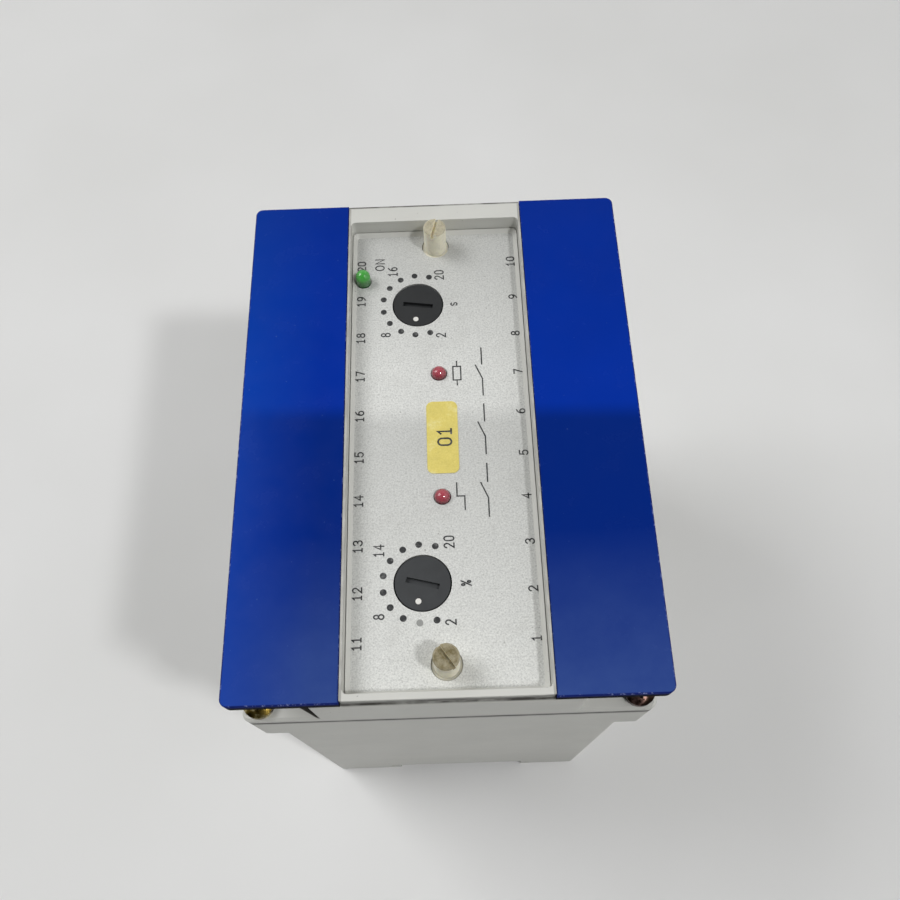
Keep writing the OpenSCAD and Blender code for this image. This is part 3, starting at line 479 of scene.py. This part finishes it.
def steel_yellow_zinc():
    """Steel screws with yellow chromate on zinc: speckled gold with painted glints on the left, nearly black
    on the right from tarnish and painted reflection.
    """
    material, tree, shader, place = begin("steel_yellow_zinc", Metallic=1.0)
    speckle = {"Scale": per_metre(2.0), "Detail": 3, "Roughness": 0.45}
    glint_speckle = add(tree, "TexNoise", {"Vector": place, **speckle})
    # Painted glints and reflection: the palest stops paint glints, and the near black on the right is partly
    # painted reflection
    gold = ((0.36, "#33290f"), (0.48, "#75632f"), (0.57, "#ddd09a"), (0.68, "#7c6932"))
    tarnish_and_reflection = ((0.35, "#120d09"), (0.5, "#33251d"), (0.6, "#7a6058"), (0.7, "#2c1f19"))
    bright, dark = (
        add(tree, "ValToRGB", {"Fac": glint_speckle}, [(at, rgba(code)) for at, code in tones])
        for tones in (gold, tarnish_and_reflection)
    )
    across = add(tree, "SeparateXYZ", {"Vector": place}).outputs["X"]
    right = add(tree, "Math", {0: across, 1: 0.0}, operation="GREATER_THAN")
    base = add(tree, "Mix", {"Factor": right, "A": bright, "B": dark}, data_type="RGBA")
    wear = add(tree, "TexNoise", {"Vector": place, "Scale": per_metre(0.6), "Detail": 3})
    rough = add(tree, "MapRange", {"Value": wear, "To Min": 0.15, "To Max": 0.5})
    pits = add(tree, "TexNoise", {"Vector": place, "Scale": per_metre(0.5), "Detail": 3})
    bump = add(tree, "Bump", {"Height": pits, "Strength": 0.35, "Distance": 0.06 * MM})
    feed(tree, shader, {"Base Color": base, "Roughness": rough, "Normal": bump})
    return material


def plated_metal(name, dark, light, mm, low, high):
    """Stamped or drawn metal: two tones in lumps of that size and an uneven shine."""
    material, tree, shader, place = begin(name, Metallic=1.0)
    tone = add(tree, "TexNoise", {"Vector": place, "Scale": per_metre(mm), "Detail": 4, "Roughness": 0.6})
    base = add(tree, "ValToRGB", {"Fac": tone}, [(0.3, rgba(dark)), (0.7, rgba(light))])
    rough = add(tree, "MapRange", {"Value": tone, "To Min": low, "To Max": high})
    bump = add(tree, "Bump", {"Height": tone, "Strength": 0.1, "Distance": 0.03 * MM})
    feed(tree, shader, {"Base Color": base, "Roughness": rough, "Normal": bump})
    return material


def banded(name, dark, light, mm, axis, roughness, metallic):
    """Sheets or turns side by side, one every so many mm along an axis, drawn coarse enough to show."""
    material, tree, shader, place = begin(name, Roughness=roughness, Metallic=metallic)
    spacing = {"Scale": per_metre(mm) / WAVES, "Distortion": 0.6}
    bands = add(tree, "TexWave", {"Vector": place, **spacing}, bands_direction=axis).outputs["Fac"]
    base = add(tree, "ValToRGB", {"Fac": bands}, [(0.1, rgba(dark)), (0.7, rgba(light))])
    bump = add(tree, "Bump", {"Height": bands, "Strength": 0.4, "Distance": 0.15 * MM})
    feed(tree, shader, {"Base Color": base, "Normal": bump})
    return material


def glass_epoxy_board():
    """Glass-epoxy board under solder resist: glossy green with a grid of paler tracks."""
    material, tree, shader, place = begin("glass_epoxy_board", Roughness=0.3, IOR=1.5)
    grid = {"Scale": per_metre(2.5), "Randomness": 0.0}
    tracks = add(tree, "TexVoronoi", {"Vector": place, **grid}, distance="CHEBYCHEV")
    base = add(tree, "ValToRGB", {"Fac": tracks}, [(0.34, rgba("#1f5a35")), (0.4, rgba("#2f7a4a"))])
    bump = add(tree, "Bump", {"Height": tracks, "Strength": 0.2, "Distance": 0.04 * MM})
    feed(tree, shader, {"Base Color": base, "Normal": bump})
    return material


def screen_ink(name, colour, worn):
    """Screen-printed ink: flat black with thin spots, rubbed through where it is worn."""
    material, tree, shader, place = begin(name, Roughness=0.5, IOR=1.5)
    spots = add(tree, "TexNoise", {"Vector": place, "Scale": per_metre(0.7), "Detail": 3, "Roughness": 0.6})
    ends = {"From Min": 0.5, "From Max": 0.75, "To Min": worn, "To Max": min(1.0, worn + 0.3)}
    rub = add(tree, "MapRange", {"Value": spots, **ends})
    base = add(tree, "Mix", {"Factor": rub, "A": (*colour, 1.0), "B": rgba("#b6b7b4")}, data_type="RGBA")
    feed(tree, shader, {"Base Color": base})
    return material


def plaster_pale_floor():
    """Sealed plaster floor: smooth, pale, slightly clouded."""
    material, tree, shader, place = begin("plaster_pale_floor", Roughness=0.6, IOR=1.45)
    cloud = add(tree, "TexNoise", {"Vector": place, "Scale": per_metre(120), "Detail": 3})
    base = add(tree, "ValToRGB", {"Fac": cloud}, [(0.3, rgba("#e2e2e1")), (0.7, rgba("#eaeaea"))])
    trowel = add(tree, "TexNoise", {"Vector": place, "Scale": per_metre(3), "Detail": 3})
    bump = add(tree, "Bump", {"Height": trowel, "Strength": 0.05, "Distance": 0.1 * MM})
    feed(tree, shader, {"Base Color": base, "Normal": bump})
    return material


# Printed marks


def arc(cx, cy, rx, ry, start, end, steps=12):
    """Points along an ellipse between two angles in degrees."""
    turns = [math.radians(start + (end - start) * i / steps) for i in range(steps + 1)]
    return [(cx + rx * math.cos(t), cy + ry * math.sin(t)) for t in turns]


# Strokes of each mark in a box 0.6 wide and 1 high
GLYPHS = {
    "0": [arc(0.3, 0.7, 0.28, 0.3, 0, 180) + arc(0.3, 0.3, 0.28, 0.3, 180, 360) + [(0.58, 0.7)]],
    "1": [[(0.12, 0.8), (0.3, 1.0), (0.3, 0.0)], [(0.12, 0.0), (0.48, 0.0)]],
    "2": [arc(0.3, 0.72, 0.26, 0.28, 170, -35) + [(0.04, 0.0), (0.58, 0.0)]],
    "3": [arc(0.28, 0.75, 0.25, 0.25, 160, -90) + arc(0.28, 0.26, 0.29, 0.26, 80, -160)],
    "4": [[(0.42, 0.0), (0.42, 1.0), (0.02, 0.3), (0.58, 0.3)]],
    "5": [[(0.54, 1.0), (0.1, 1.0), (0.06, 0.54)] + arc(0.28, 0.32, 0.29, 0.32, 130, -150)],
    "6": [arc(0.3, 0.31, 0.27, 0.31, 180, -180) + arc(0.62, 0.42, 0.59, 0.6, 185, 105)],
    "7": [[(0.03, 1.0), (0.57, 1.0), (0.2, 0.0)]],
    "8": [arc(0.3, 0.76, 0.23, 0.24, -90, 270), arc(0.3, 0.26, 0.28, 0.26, 90, -270)],
    "9": [arc(0.3, 0.69, 0.27, 0.31, 0, 360) + arc(-0.02, 0.58, 0.59, 0.6, 5, -75)],
    "s": [arc(0.3, 0.52, 0.2, 0.18, 35, 270) + arc(0.3, 0.17, 0.22, 0.17, 90, -145)],
    "O": [arc(0.3, 0.5, 0.3, 0.5, 0, 360, 24)],
    "N": [[(0.04, 0.0), (0.04, 1.0), (0.56, 0.0), (0.56, 1.0)]],
    "%": [[(0.02, 0.0), (0.6, 1.0)], arc(0.12, 0.8, 0.11, 0.16, 0, 360), arc(0.5, 0.2, 0.11, 0.16, 0, 360)],
}
GLYPH_WIDTH = 0.6
GLYPH_GAP = 0.26
# Strokes of one mark differ in height by this share of the film, so that they don't share a face
STROKE_LIFT = 1 / 8
# Points closer than this, in metres, are taken as one
SAME_POINT = 1e-6
# A corner reaches out by half the stroke's width divided by a cosine that is no less than this
LEAST_COSINE = 0.45


def ribbon(bm, points, width, low, high):
    """Closed strip of that width along a line of points, with square ends pulled out by half its width."""
    line = [Vector(p).to_2d() for p in points]
    line = [p for i, p in enumerate(line) if i == 0 or (p - line[i - 1]).length > SAME_POINT]
    closed = (line[0] - line[-1]).length < SAME_POINT
    if closed:
        line.pop()
    count = len(line)
    rows = []
    for i, p in enumerate(line):
        before = line[i - 1] if i or closed else None
        after = line[(i + 1) % count] if i + 1 < count or closed else None
        into = (p - before).normalized() if before is not None else None
        out = (after - p).normalized() if after is not None else None
        if into is None:
            p, into = p - out * width / 2, out
        if out is None:
            p, out = p + into * width / 2, into
        side = (Vector((-into.y, into.x)) + Vector((-out.y, out.x))).normalized()
        reach = width / 2 / max(LEAST_COSINE, side.dot(Vector((-out.y, out.x))))
        corners = [p + side * reach, p - side * reach]
        rows.append([bm.verts.new((c.x, c.y, z)) for z in (high, low) for c in corners])
    pairs = list(zip(rows, rows[1:] + rows[:1])) if closed else list(zip(rows, rows[1:]))
    for a, b in pairs:
        for i, j in ((0, 1), (1, 3), (3, 2), (2, 0)):
            bm.faces.new((a[i], a[j], b[j], b[i]))
    if not closed:
        bm.faces.new((rows[0][0], rows[0][2], rows[0][3], rows[0][1]))
        bm.faces.new((rows[-1][0], rows[-1][1], rows[-1][3], rows[-1][2]))


def disc(bm, centre, radius, low, high, sides=32):
    """Closed flat disc."""
    rings = []
    for z in (low, high):
        rings.append([
            bm.verts.new((
                centre[0] + radius * math.cos(math.tau * i / sides),
                centre[1] + radius * math.sin(math.tau * i / sides),
                z,
            ))
            for i in range(sides)
        ])
    bm.faces.new(rings[1])
    bm.faces.new(list(reversed(rings[0])))
    for i in range(sides):
        j = (i + 1) % sides
        bm.faces.new((rings[0][i], rings[0][j], rings[1][j], rings[1][i]))


def write(bm, text, centre, height, stroke, low, high, narrow=1.0):
    """Marks in a row centred on a point; they read along +Y with their tops towards -X."""
    advance = GLYPH_WIDTH * narrow + GLYPH_GAP
    total = (len(text) - 1) * advance + GLYPH_WIDTH * narrow
    lift = (high - low) * STROKE_LIFT
    for n, mark in enumerate(text):
        for k, points in enumerate(GLYPHS[mark]):
            placed = [
                (
                    centre[0] - (y - 0.5) * height,
                    centre[1] + (n * advance + x * narrow - total / 2) * height,
                )
                for x, y in points
            ]
            ribbon(bm, placed, stroke, low, high + k * lift)


def settle(bm, name, material, body):
    """Makes a finished piece of a bmesh and lets it ride on a body."""
    bmesh.ops.recalc_face_normals(bm, faces=bm.faces)
    mesh = bpy.data.meshes.new(name)
    bm.to_mesh(mesh)
    bm.free()
    mesh.materials.append(material)
    piece = bpy.data.objects.new(name, mesh)
    bpy.context.scene.collection.objects.link(piece)
    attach(piece, body)
    return piece


# Operators


class RELAY_OT_case(bpy.types.Operator):
    """Finish both mouldings and the frame"""

    bl_idname = "relay.case"
    bl_label = "Case"

    def execute(self, context):
        finish = context.scene.relay_finish
        dress(abs_grey_moulded(finish.case), "lower_case", "upper_case", "panel_frame", "panel_bead")
        return {"FINISHED"}


class RELAY_OT_covers(bpy.types.Operator):
    """Finish the blue terminal covers"""

    bl_idname = "relay.covers"
    bl_label = "Covers"

    def execute(self, context):
        dress(acrylic_blue_polished(context.scene.relay_finish.cover), "left_cover", "right_cover")
        return {"FINISHED"}


class RELAY_OT_panel(bpy.types.Operator):
    """Finish the sunk panel and its sticker"""

    bl_idname = "relay.panel"
    bl_label = "Panel"

    def execute(self, context):
        finish = context.scene.relay_finish
        dress(aluminium_silver_grained(finish.panel), "front_panel")
        dress(paper_yellow_sticker(finish.label), "yellow_label")
        return {"FINISHED"}


class RELAY_OT_dials(bpy.types.Operator):
    """Finish the dials and fill the dots on them"""

    bl_idname = "relay.dials"
    bl_label = "Dials"

    # Direction of each dot from its dial's centre, in degrees, and how pale the dial is painted beside the
    # set colour: painted shade on the time dial, painted light on the level dial
    marks = {"time": (-98.0, 0.6), "level": (-104.0, 1.2)}
    mark_circle = 3.3 * MM
    mark_radius = 0.52 * MM
    # Depths of the paint's underside and of its face below the dial's face
    mark_foot = 0.2 * MM
    mark_sunk = 0.03 * MM

    def execute(self, context):
        colour = context.scene.relay_finish.dial
        paint = moulded_plastic(
            "paint_white_dot", linear("#e2e1dc"), mm=0.25, contrast=0.06, roughness=0.5, strength=0.2
        )
        for name, (direction, worn) in self.marks.items():
            knob = name + "_knob"
            # Painted shade and light: each dial's black is scaled by its own factor
            black = shade(colour, worn)[:3]
            plastic = moulded_plastic(
                "abs_black_" + knob, black, mm=0.3, contrast=0.1, roughness=0.45, strength=0.2
            )
            dress(plastic, knob)
            centre = middle(knob)
            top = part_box(knob)[1].z
            turn = math.radians(direction)
            place = centre + self.mark_circle * Vector((math.cos(turn), math.sin(turn), 0))
            bm = bmesh.new()
            disc(bm, place, self.mark_radius, top - self.mark_foot, top - self.mark_sunk)
            settle(bm, name + "_dot", paint, name + "_dial")
        return {"FINISHED"}


class RELAY_OT_scales(bpy.types.Operator):
    """Print the dots, numerals and units round both dials"""

    bl_idname = "relay.scales"
    bl_label = "Dial scales"

    # Direction of the first dot and the step to the next, in degrees
    first = -70.5
    count = 10
    step = -219.0 / (count - 1)
    # The dot of the level dial that is rubbed, and how far
    worn_dot = 1
    worn_share = 0.62
    # Width of the numerals beside that of the other marks
    narrow = 0.82
    # Middle of each mark in millimetres from its dial's centre
    numerals = {
        "time": {
            "2": (4.47, -7.35), "8": (-6.49, -6.89), "16": (-5.05, 8.28), "20": (4.43, 7.11),
            "s": (7.0, -0.1),
        },
        "level": {
            "2": (4.73, -7.08), "8": (-7.66, -5.79), "14": (-7.71, 6.12), "20": (4.81, 7.35),
            "%": (7.6, -0.3),
        },
    }

    def execute(self, context):
        sizes = context.scene.relay_print
        colour = context.scene.relay_finish.ink
        ink = screen_ink("screen_ink_black", colour, 0.0)
        rubbed = screen_ink("screen_ink_rubbed", colour, self.worn_share)
        low, high = PANEL_TOP, PANEL_TOP + sizes.film
        for dial, places in self.numerals.items():
            centre = middle(dial + "_knob")
            bm = bmesh.new()
            for i in range(self.count):
                turn = math.radians(self.first + i * self.step)
                spot = centre + sizes.dot_circle * Vector((math.cos(turn), math.sin(turn), 0))
                if dial == "level" and i == self.worn_dot:
                    worn = bmesh.new()
                    disc(worn, spot, sizes.dot / 2, low, high)
                    settle(worn, "level_worn_dot", rubbed, CASE)
                else:
                    disc(bm, spot, sizes.dot / 2, low, high)
            for text, (x, y) in places.items():
                at = (centre.x + x * MM, centre.y + y * MM)
                write(bm, text, at, sizes.digit, sizes.stroke, low, high, self.narrow)
            settle(bm, dial + "_scale", ink, CASE)
        return {"FINISHED"}


class RELAY_OT_terminal_numbers(bpy.types.Operator):
    """Print the terminal numbers along both sides of the panel"""

    bl_idname = "relay.terminal_numbers"
    bl_label = "Terminal numbers"

    count = 10
    nearest = -40.0 * MM
    pitch = 8.66 * MM
    # First number and sideways place of each row
    rows = {"right": (1, 15.37 * MM), "left": (11, -15.3 * MM)}

    def execute(self, context):
        sizes = context.scene.relay_print
        ink = bpy.data.materials["screen_ink_black"]
        low, high = PANEL_TOP, PANEL_TOP + sizes.film
        for side, (first, x) in self.rows.items():
            bm = bmesh.new()
            for i in range(self.count):
                at = (x, self.nearest + i * self.pitch)
                write(bm, str(first + i), at, sizes.terminal_digit, sizes.stroke, low, high)
            settle(bm, side + "_terminal_numbers", ink, CASE)
        return {"FINISHED"}


class RELAY_OT_symbols(bpy.types.Operator):
    """Print the plain marks beside the lamps, the contact diagram and the sticker's number"""

    bl_idname = "relay.symbols"
    bl_label = "Symbols"

    # Where each mark's middle lies, in millimetres
    on_at = (-11.55, 38.2)
    coil_at = (3.5, 12.0)
    step_at = (3.4, -13.65)
    diagram_at = (8.4, -0.15)
    # Strokes in millimetres, first along +Y and then up towards -X
    coil = [
        [(-2.6, 0), (-1.5, 0)], [(1.5, 0), (2.6, 0)],
        [(-1.5, -0.75), (1.5, -0.75), (1.5, 0.75), (-1.5, 0.75), (-1.5, -0.75)],
    ]
    step = [[(-2.6, -0.7), (0, -0.7), (0, 0.7), (2.6, 0.7)]]
    contact = [[(-5.2, 0), (-1.6, 0)], [(1.6, 0), (5.2, 0)], [(-1.6, 0), (1.4, 1.25)]]
    contacts_apart = 12.4
    # Width of the letters, boldness of the sticker's number and its place beside the sticker's middle
    wide = 1.1
    bold = 1.4
    label_shift = 0.4 * MM

    def execute(self, context):
        sizes = context.scene.relay_print
        ink = bpy.data.materials["screen_ink_black"]
        low, high = PANEL_TOP, PANEL_TOP + sizes.film
        bm = bmesh.new()
        write(bm, "ON", [v * MM for v in self.on_at], sizes.digit, sizes.stroke, low, high, self.wide)
        drawings = [(self.coil, self.coil_at, 0.0), (self.step, self.step_at, 0.0)]
        drawings += [(self.contact, self.diagram_at, n * self.contacts_apart) for n in (-1, 0, 1)]
        for strokes, (x, y), along in drawings:
            for k, points in enumerate(strokes):
                placed = [((x - up) * MM, (y + along + over) * MM) for over, up in points]
                ribbon(bm, placed, sizes.stroke, low, high + k * sizes.film * STROKE_LIFT)
        settle(bm, "panel_symbols", ink, CASE)
        bm = bmesh.new()
        spot = middle("yellow_label")
        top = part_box("yellow_label")[1].z
        at = (spot.x + self.label_shift, spot.y)
        write(bm, "01", at, sizes.label_digit, self.bold * sizes.stroke, top, top + sizes.film)
        settle(bm, "label_number", ink, CASE)
        return {"FINISHED"}


class RELAY_OT_lamps(bpy.types.Operator):
    """Finish the three lamps"""

    bl_idname = "relay.lamps"
    bl_label = "Lamps"

    def execute(self, context):
        dress(epoxy_lens("epoxy_green_lens", "#4fa94b", "#1d5524"), "green_led")
        dress(epoxy_lens("epoxy_red_lens", "#b04e5b", "#561722"), "upper_red_led", "lower_red_led")
        return {"FINISHED"}


class RELAY_OT_fasteners(bpy.types.Operator):
    """Finish the nylon screws and the case screws"""

    bl_idname = "relay.fasteners"
    bl_label = "Screws"

    def execute(self, context):
        colour = context.scene.relay_finish.nylon
        dress(nylon_cream_turned("nylon_cream_turned", colour, stained=0.62, deep=0.2), "upper_post")
        dress(nylon_cream_turned("nylon_cream_stained", colour, stained=0.93, deep=1.3), "lower_post")
        dress(steel_yellow_zinc(), "case_screws")
        return {"FINISHED"}


class RELAY_OT_terminals(bpy.types.Operator):
    """Finish the terminal blocks, bars, washers and screws"""

    bl_idname = "relay.terminals"
    bl_label = "Terminals"

    def execute(self, context):
        black = moulded_plastic(
            "phenolic_black_block", linear("#2b2c2e"), mm=0.4, contrast=0.12, roughness=0.5, strength=0.25
        )
        brass = plated_metal("brass_stamped_bar", "#8a6c34", "#c9a962", mm=2.0, low=0.25, high=0.5)
        zinc = plated_metal("steel_bright_zinc", "#9ea1a3", "#d5d7d8", mm=1.2, low=0.2, high=0.45)
        for side in ("left_", "right_"):
            dress(black, side + "terminal_block")
            dress(brass, side + "terminal_bars")
            dress(zinc, side + "clamp_washers", side + "terminal_screws")
        dress(zinc, "board_screws")
        return {"FINISHED"}


class RELAY_OT_rail_foot(bpy.types.Operator):
    """Finish the rail latch and wind its spring"""

    bl_idname = "relay.rail_foot"
    bl_label = "Rail foot"

    joint = "latch_slide"
    turns = 7
    wire = 0.4 * MM
    # Points along a turn and round the wire
    steps = 28
    sides = 10

    def wind(self, bm, low, high):
        """Round wire along a helix that fills a box lengthways."""
        axis = Vector((1, 0, 0))
        start = Vector((low.x + self.wire / 2, (low.y + high.y) / 2, (low.z + high.z) / 2))
        coil = (high.y - low.y - self.wire) / 2
        count = self.turns * self.steps
        rise = (high.x - low.x - self.wire) / count
        rings = []
        for i in range(count + 1):
            turn = math.tau * i / self.steps
            out = Vector((0, math.cos(turn), math.sin(turn)))
            spot = start + i * rise * axis + coil * out
            turns = [math.tau * k / self.sides for k in range(self.sides)]
            rings.append([
                bm.verts.new(spot + self.wire / 2 * (math.cos(t) * out + math.sin(t) * axis)) for t in turns
            ])
        for a, b in zip(rings, rings[1:]):
            for k in range(self.sides):
                j = (k + 1) % self.sides
                bm.faces.new((a[k], a[j], b[j], b[k]))
        bm.faces.new(rings[0])
        bm.faces.new(list(reversed(rings[-1])))

    def execute(self, context):
        nylon = moulded_plastic(
            "nylon_black_latch", linear("#333437"), mm=0.4, contrast=0.1, roughness=0.48, strength=0.2
        )
        dress(nylon, "rail_latch")
        steel = plated_metal("spring_steel_drawn", "#85888b", "#c4c6c8", mm=0.5, low=0.2, high=0.4)
        dress(steel, "latch_spring")
        low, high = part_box("latch_spring")
        bm = bmesh.new()
        self.wind(bm, low, high)
        spring = settle(bm, "latch_spring_wire", steel, CASE)
        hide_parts("latch_spring")
        # The spring's +X end rests on the case, and the latch pushes its other end
        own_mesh(spring)
        return {"FINISHED"}


class RELAY_OT_inside(bpy.types.Operator):
    """Finish the boards, their parts and the transformers"""

    bl_idname = "relay.inside"
    bl_label = "Inside"

    trimmers = ("time_potentiometer", "level_potentiometer")
    # Finish, colour, grain in mm, contrast, roughness and depth of the grain, and the nodes that have it
    mouldings = (
        ("polyester_blue_trimmer", "#2f5f9f", 0.4, 0.08, 0.35, 0.15, *trimmers),
        ("epoxy_black_chip", "#232427", 0.3, 0.1, 0.6, 0.3, "chips", "board_link"),
        ("resin_black_potted", "#26282b", 0.8, 0.12, 0.3, 0.2, "current_transformer"),
        ("pbt_cream_relay", "#d8d4c4", 0.5, 0.05, 0.45, 0.15, "output_relay"),
        ("pvc_blue_sleeve", "#27406e", 0.6, 0.08, 0.3, 0.1, "capacitors"),
    )

    def execute(self, context):
        dress(glass_epoxy_board(), "front_board", "main_board")
        for name, code, mm, contrast, roughness, strength, *nodes in self.mouldings:
            dress(moulded_plastic(name, linear(code), mm, contrast, roughness, strength), *nodes)
        sheets = banded(
            "silicon_iron_sheets", "#3c3f43", "#6d7176", mm=3.14, axis="Y", roughness=0.45, metallic=0.8
        )
        dress(sheets, "transformer_core")
        turns = banded(
            "copper_enamel_turns", "#7c3a14", "#c97a3c", mm=2.51, axis="Z", roughness=0.35, metallic=0.7
        )
        dress(turns, "transformer_winding")
        return {"FINISHED"}


class RELAY_OT_stage(bpy.types.Operator):
    """Lay the floor, hang the lamps and set the camera"""

    bl_idname = "relay.stage"
    bl_label = "Stage"

    # Camera place in millimetres, the directions of its right and upper sides, the width of its sensor and
    # the nearest distance that it sees
    camera_at = (2.52, -72.65, 260.48)
    camera_right = (0.9994, -0.0295, -0.0191)
    camera_up = (0.0348, 0.9091, 0.4151)
    sensor = 36.0
    clip = 10.0
    # Place of each lamp and its side, and where they all aim, in millimetres
    lamps = {
        "key": ((374.0, -282.0, 844.0), 70.0),
        "fill": ((-600.0, 250.0, 850.0), 500.0),
        "side": ((750.0, -250.0, 700.0), 900.0),
    }
    aim = (0.0, 0.0, 110.0)
    floor_half = 5000.0

    def area_light(self, name, place, side, power):
        """Square lamp that faces the object."""
        data = bpy.data.lights.new(name, "AREA")
        data.size = side * MM
        data.energy = power
        lamp = bpy.data.objects.new(name, data)
        lamp.location = Vector(place) * MM
        lamp.rotation_euler = (Vector(self.aim) - Vector(place)).to_track_quat("-Z", "Y").to_euler()
        bpy.context.scene.collection.objects.link(lamp)

    def lay_floor(self, scene):
        """Flat square under the object."""
        half = self.floor_half * MM
        corners = [(x * half, y * half, 0) for x, y in ((-1, -1), (1, -1), (1, 1), (-1, 1))]
        mesh = bpy.data.meshes.new("floor")
        mesh.from_pydata(corners, [], [(0, 1, 2, 3)])
        mesh.materials.append(plaster_pale_floor())
        floor = bpy.data.objects.new("floor", mesh)
        scene.collection.objects.link(floor)

    def light_room(self, scene, strength):
        """Even light from all round, and a plain wall behind the floor."""
        world = bpy.data.worlds.new("ceiling")
        world.use_nodes = True
        tree = world.node_tree
        sky = tree.nodes["Background"]
        sky.inputs["Color"].default_value = rgba("#fbfbf8")
        # The room is darker overhead and behind the camera
        _, y, z = add(tree, "SeparateXYZ", {"Vector": add(tree, "TexCoord").outputs["Generated"]}).outputs
        dim = {"From Min": 0.66, "From Max": 0.78, "To Min": strength, "To Max": 0.2 * strength}
        overhead = add(tree, "MapRange", {"Value": z, **dim})
        deep = {"From Min": -0.7, "From Max": 0.4, "To Min": 0.18, "To Max": 1.15}
        ahead = add(tree, "MapRange", {"Value": y, **deep})
        feed(tree, sky, {"Strength": add(tree, "Math", {0: overhead, 1: ahead}, operation="MULTIPLY")})
        # The wall behind the floor looks plain and pale, whatever light the room sends
        wall = add(tree, "Background", {"Color": rgba("#b4b4b2"), "Strength": 1.0})
        seen = add(tree, "LightPath").outputs["Is Camera Ray"]
        room = add(tree, "MixShader", {"Fac": seen, 1: sky, 2: wall})
        feed(tree, tree.nodes["World Output"], {"Surface": room})
        scene.world = world

    def set_camera(self, scene, lens):
        """Camera where the photo was taken from."""
        data = bpy.data.cameras.new("camera")
        data.lens = lens
        data.sensor_width = self.sensor
        data.clip_start = self.clip * MM
        camera = bpy.data.objects.new("camera", data)
        right, up = Vector(self.camera_right).normalized(), Vector(self.camera_up).normalized()
        back = right.cross(up).normalized()
        up = back.cross(right)
        turned = Matrix((right, up, back)).transposed().to_4x4()
        camera.matrix_world = Matrix.Translation(Vector(self.camera_at) * MM) @ turned
        scene.collection.objects.link(camera)
        scene.camera = camera

    def execute(self, context):
        scene = context.scene
        settings = scene.relay_stage
        self.lay_floor(scene)
        for name, (place, side) in self.lamps.items():
            self.area_light(name, place, side, getattr(settings, name))
        self.light_room(scene, settings.sky)
        self.set_camera(scene, settings.lens)
        scene.view_settings.view_transform = "Standard"
        return {"FINISHED"}


STEPS = (
    RELAY_OT_stage,
    RELAY_OT_case,
    RELAY_OT_covers,
    RELAY_OT_panel,
    RELAY_OT_dials,
    RELAY_OT_scales,
    RELAY_OT_terminal_numbers,
    RELAY_OT_symbols,
    RELAY_OT_lamps,
    RELAY_OT_fasteners,
    RELAY_OT_terminals,
    RELAY_OT_rail_foot,
    RELAY_OT_inside,
)


class RELAY_PT_looks(bpy.types.Panel):
    """Lists the steps that dress the relay"""

    bl_idname = "RELAY_PT_looks"
    bl_label = "Relay"
    bl_space_type = "VIEW_3D"
    bl_region_type = "UI"
    bl_category = "Relay"

    def draw(self, context):
        for step in STEPS:
            self.layout.operator(step.bl_idname)
        for pointer, group in GROUPS.items():
            for name in group.__annotations__:
                self.layout.prop(getattr(context.scene, pointer), name)


GROUPS = {"relay_finish": RelayFinish, "relay_print": RelayPrint, "relay_stage": RelayStage}


def register():
    """Registers the settings, the steps and the panel."""
    for name, group in GROUPS.items():
        bpy.utils.register_class(group)
        setattr(bpy.types.Scene, name, bpy.props.PointerProperty(type=group))
    for step in STEPS:
        bpy.utils.register_class(step)
    bpy.utils.register_class(RELAY_PT_looks)


def unregister():
    """Takes them away again."""
    bpy.utils.unregister_class(RELAY_PT_looks)
    for step in reversed(STEPS):
        bpy.utils.unregister_class(step)
    for name, group in GROUPS.items():
        delattr(bpy.types.Scene, name)
        bpy.utils.unregister_class(group)


def main():
    """Dresses the relay step by step."""
    register()
    for step in STEPS:
        section, call = step.bl_idname.split(".")
        getattr(getattr(bpy.ops, section), call)()


if __name__ == "__main__":
    main()
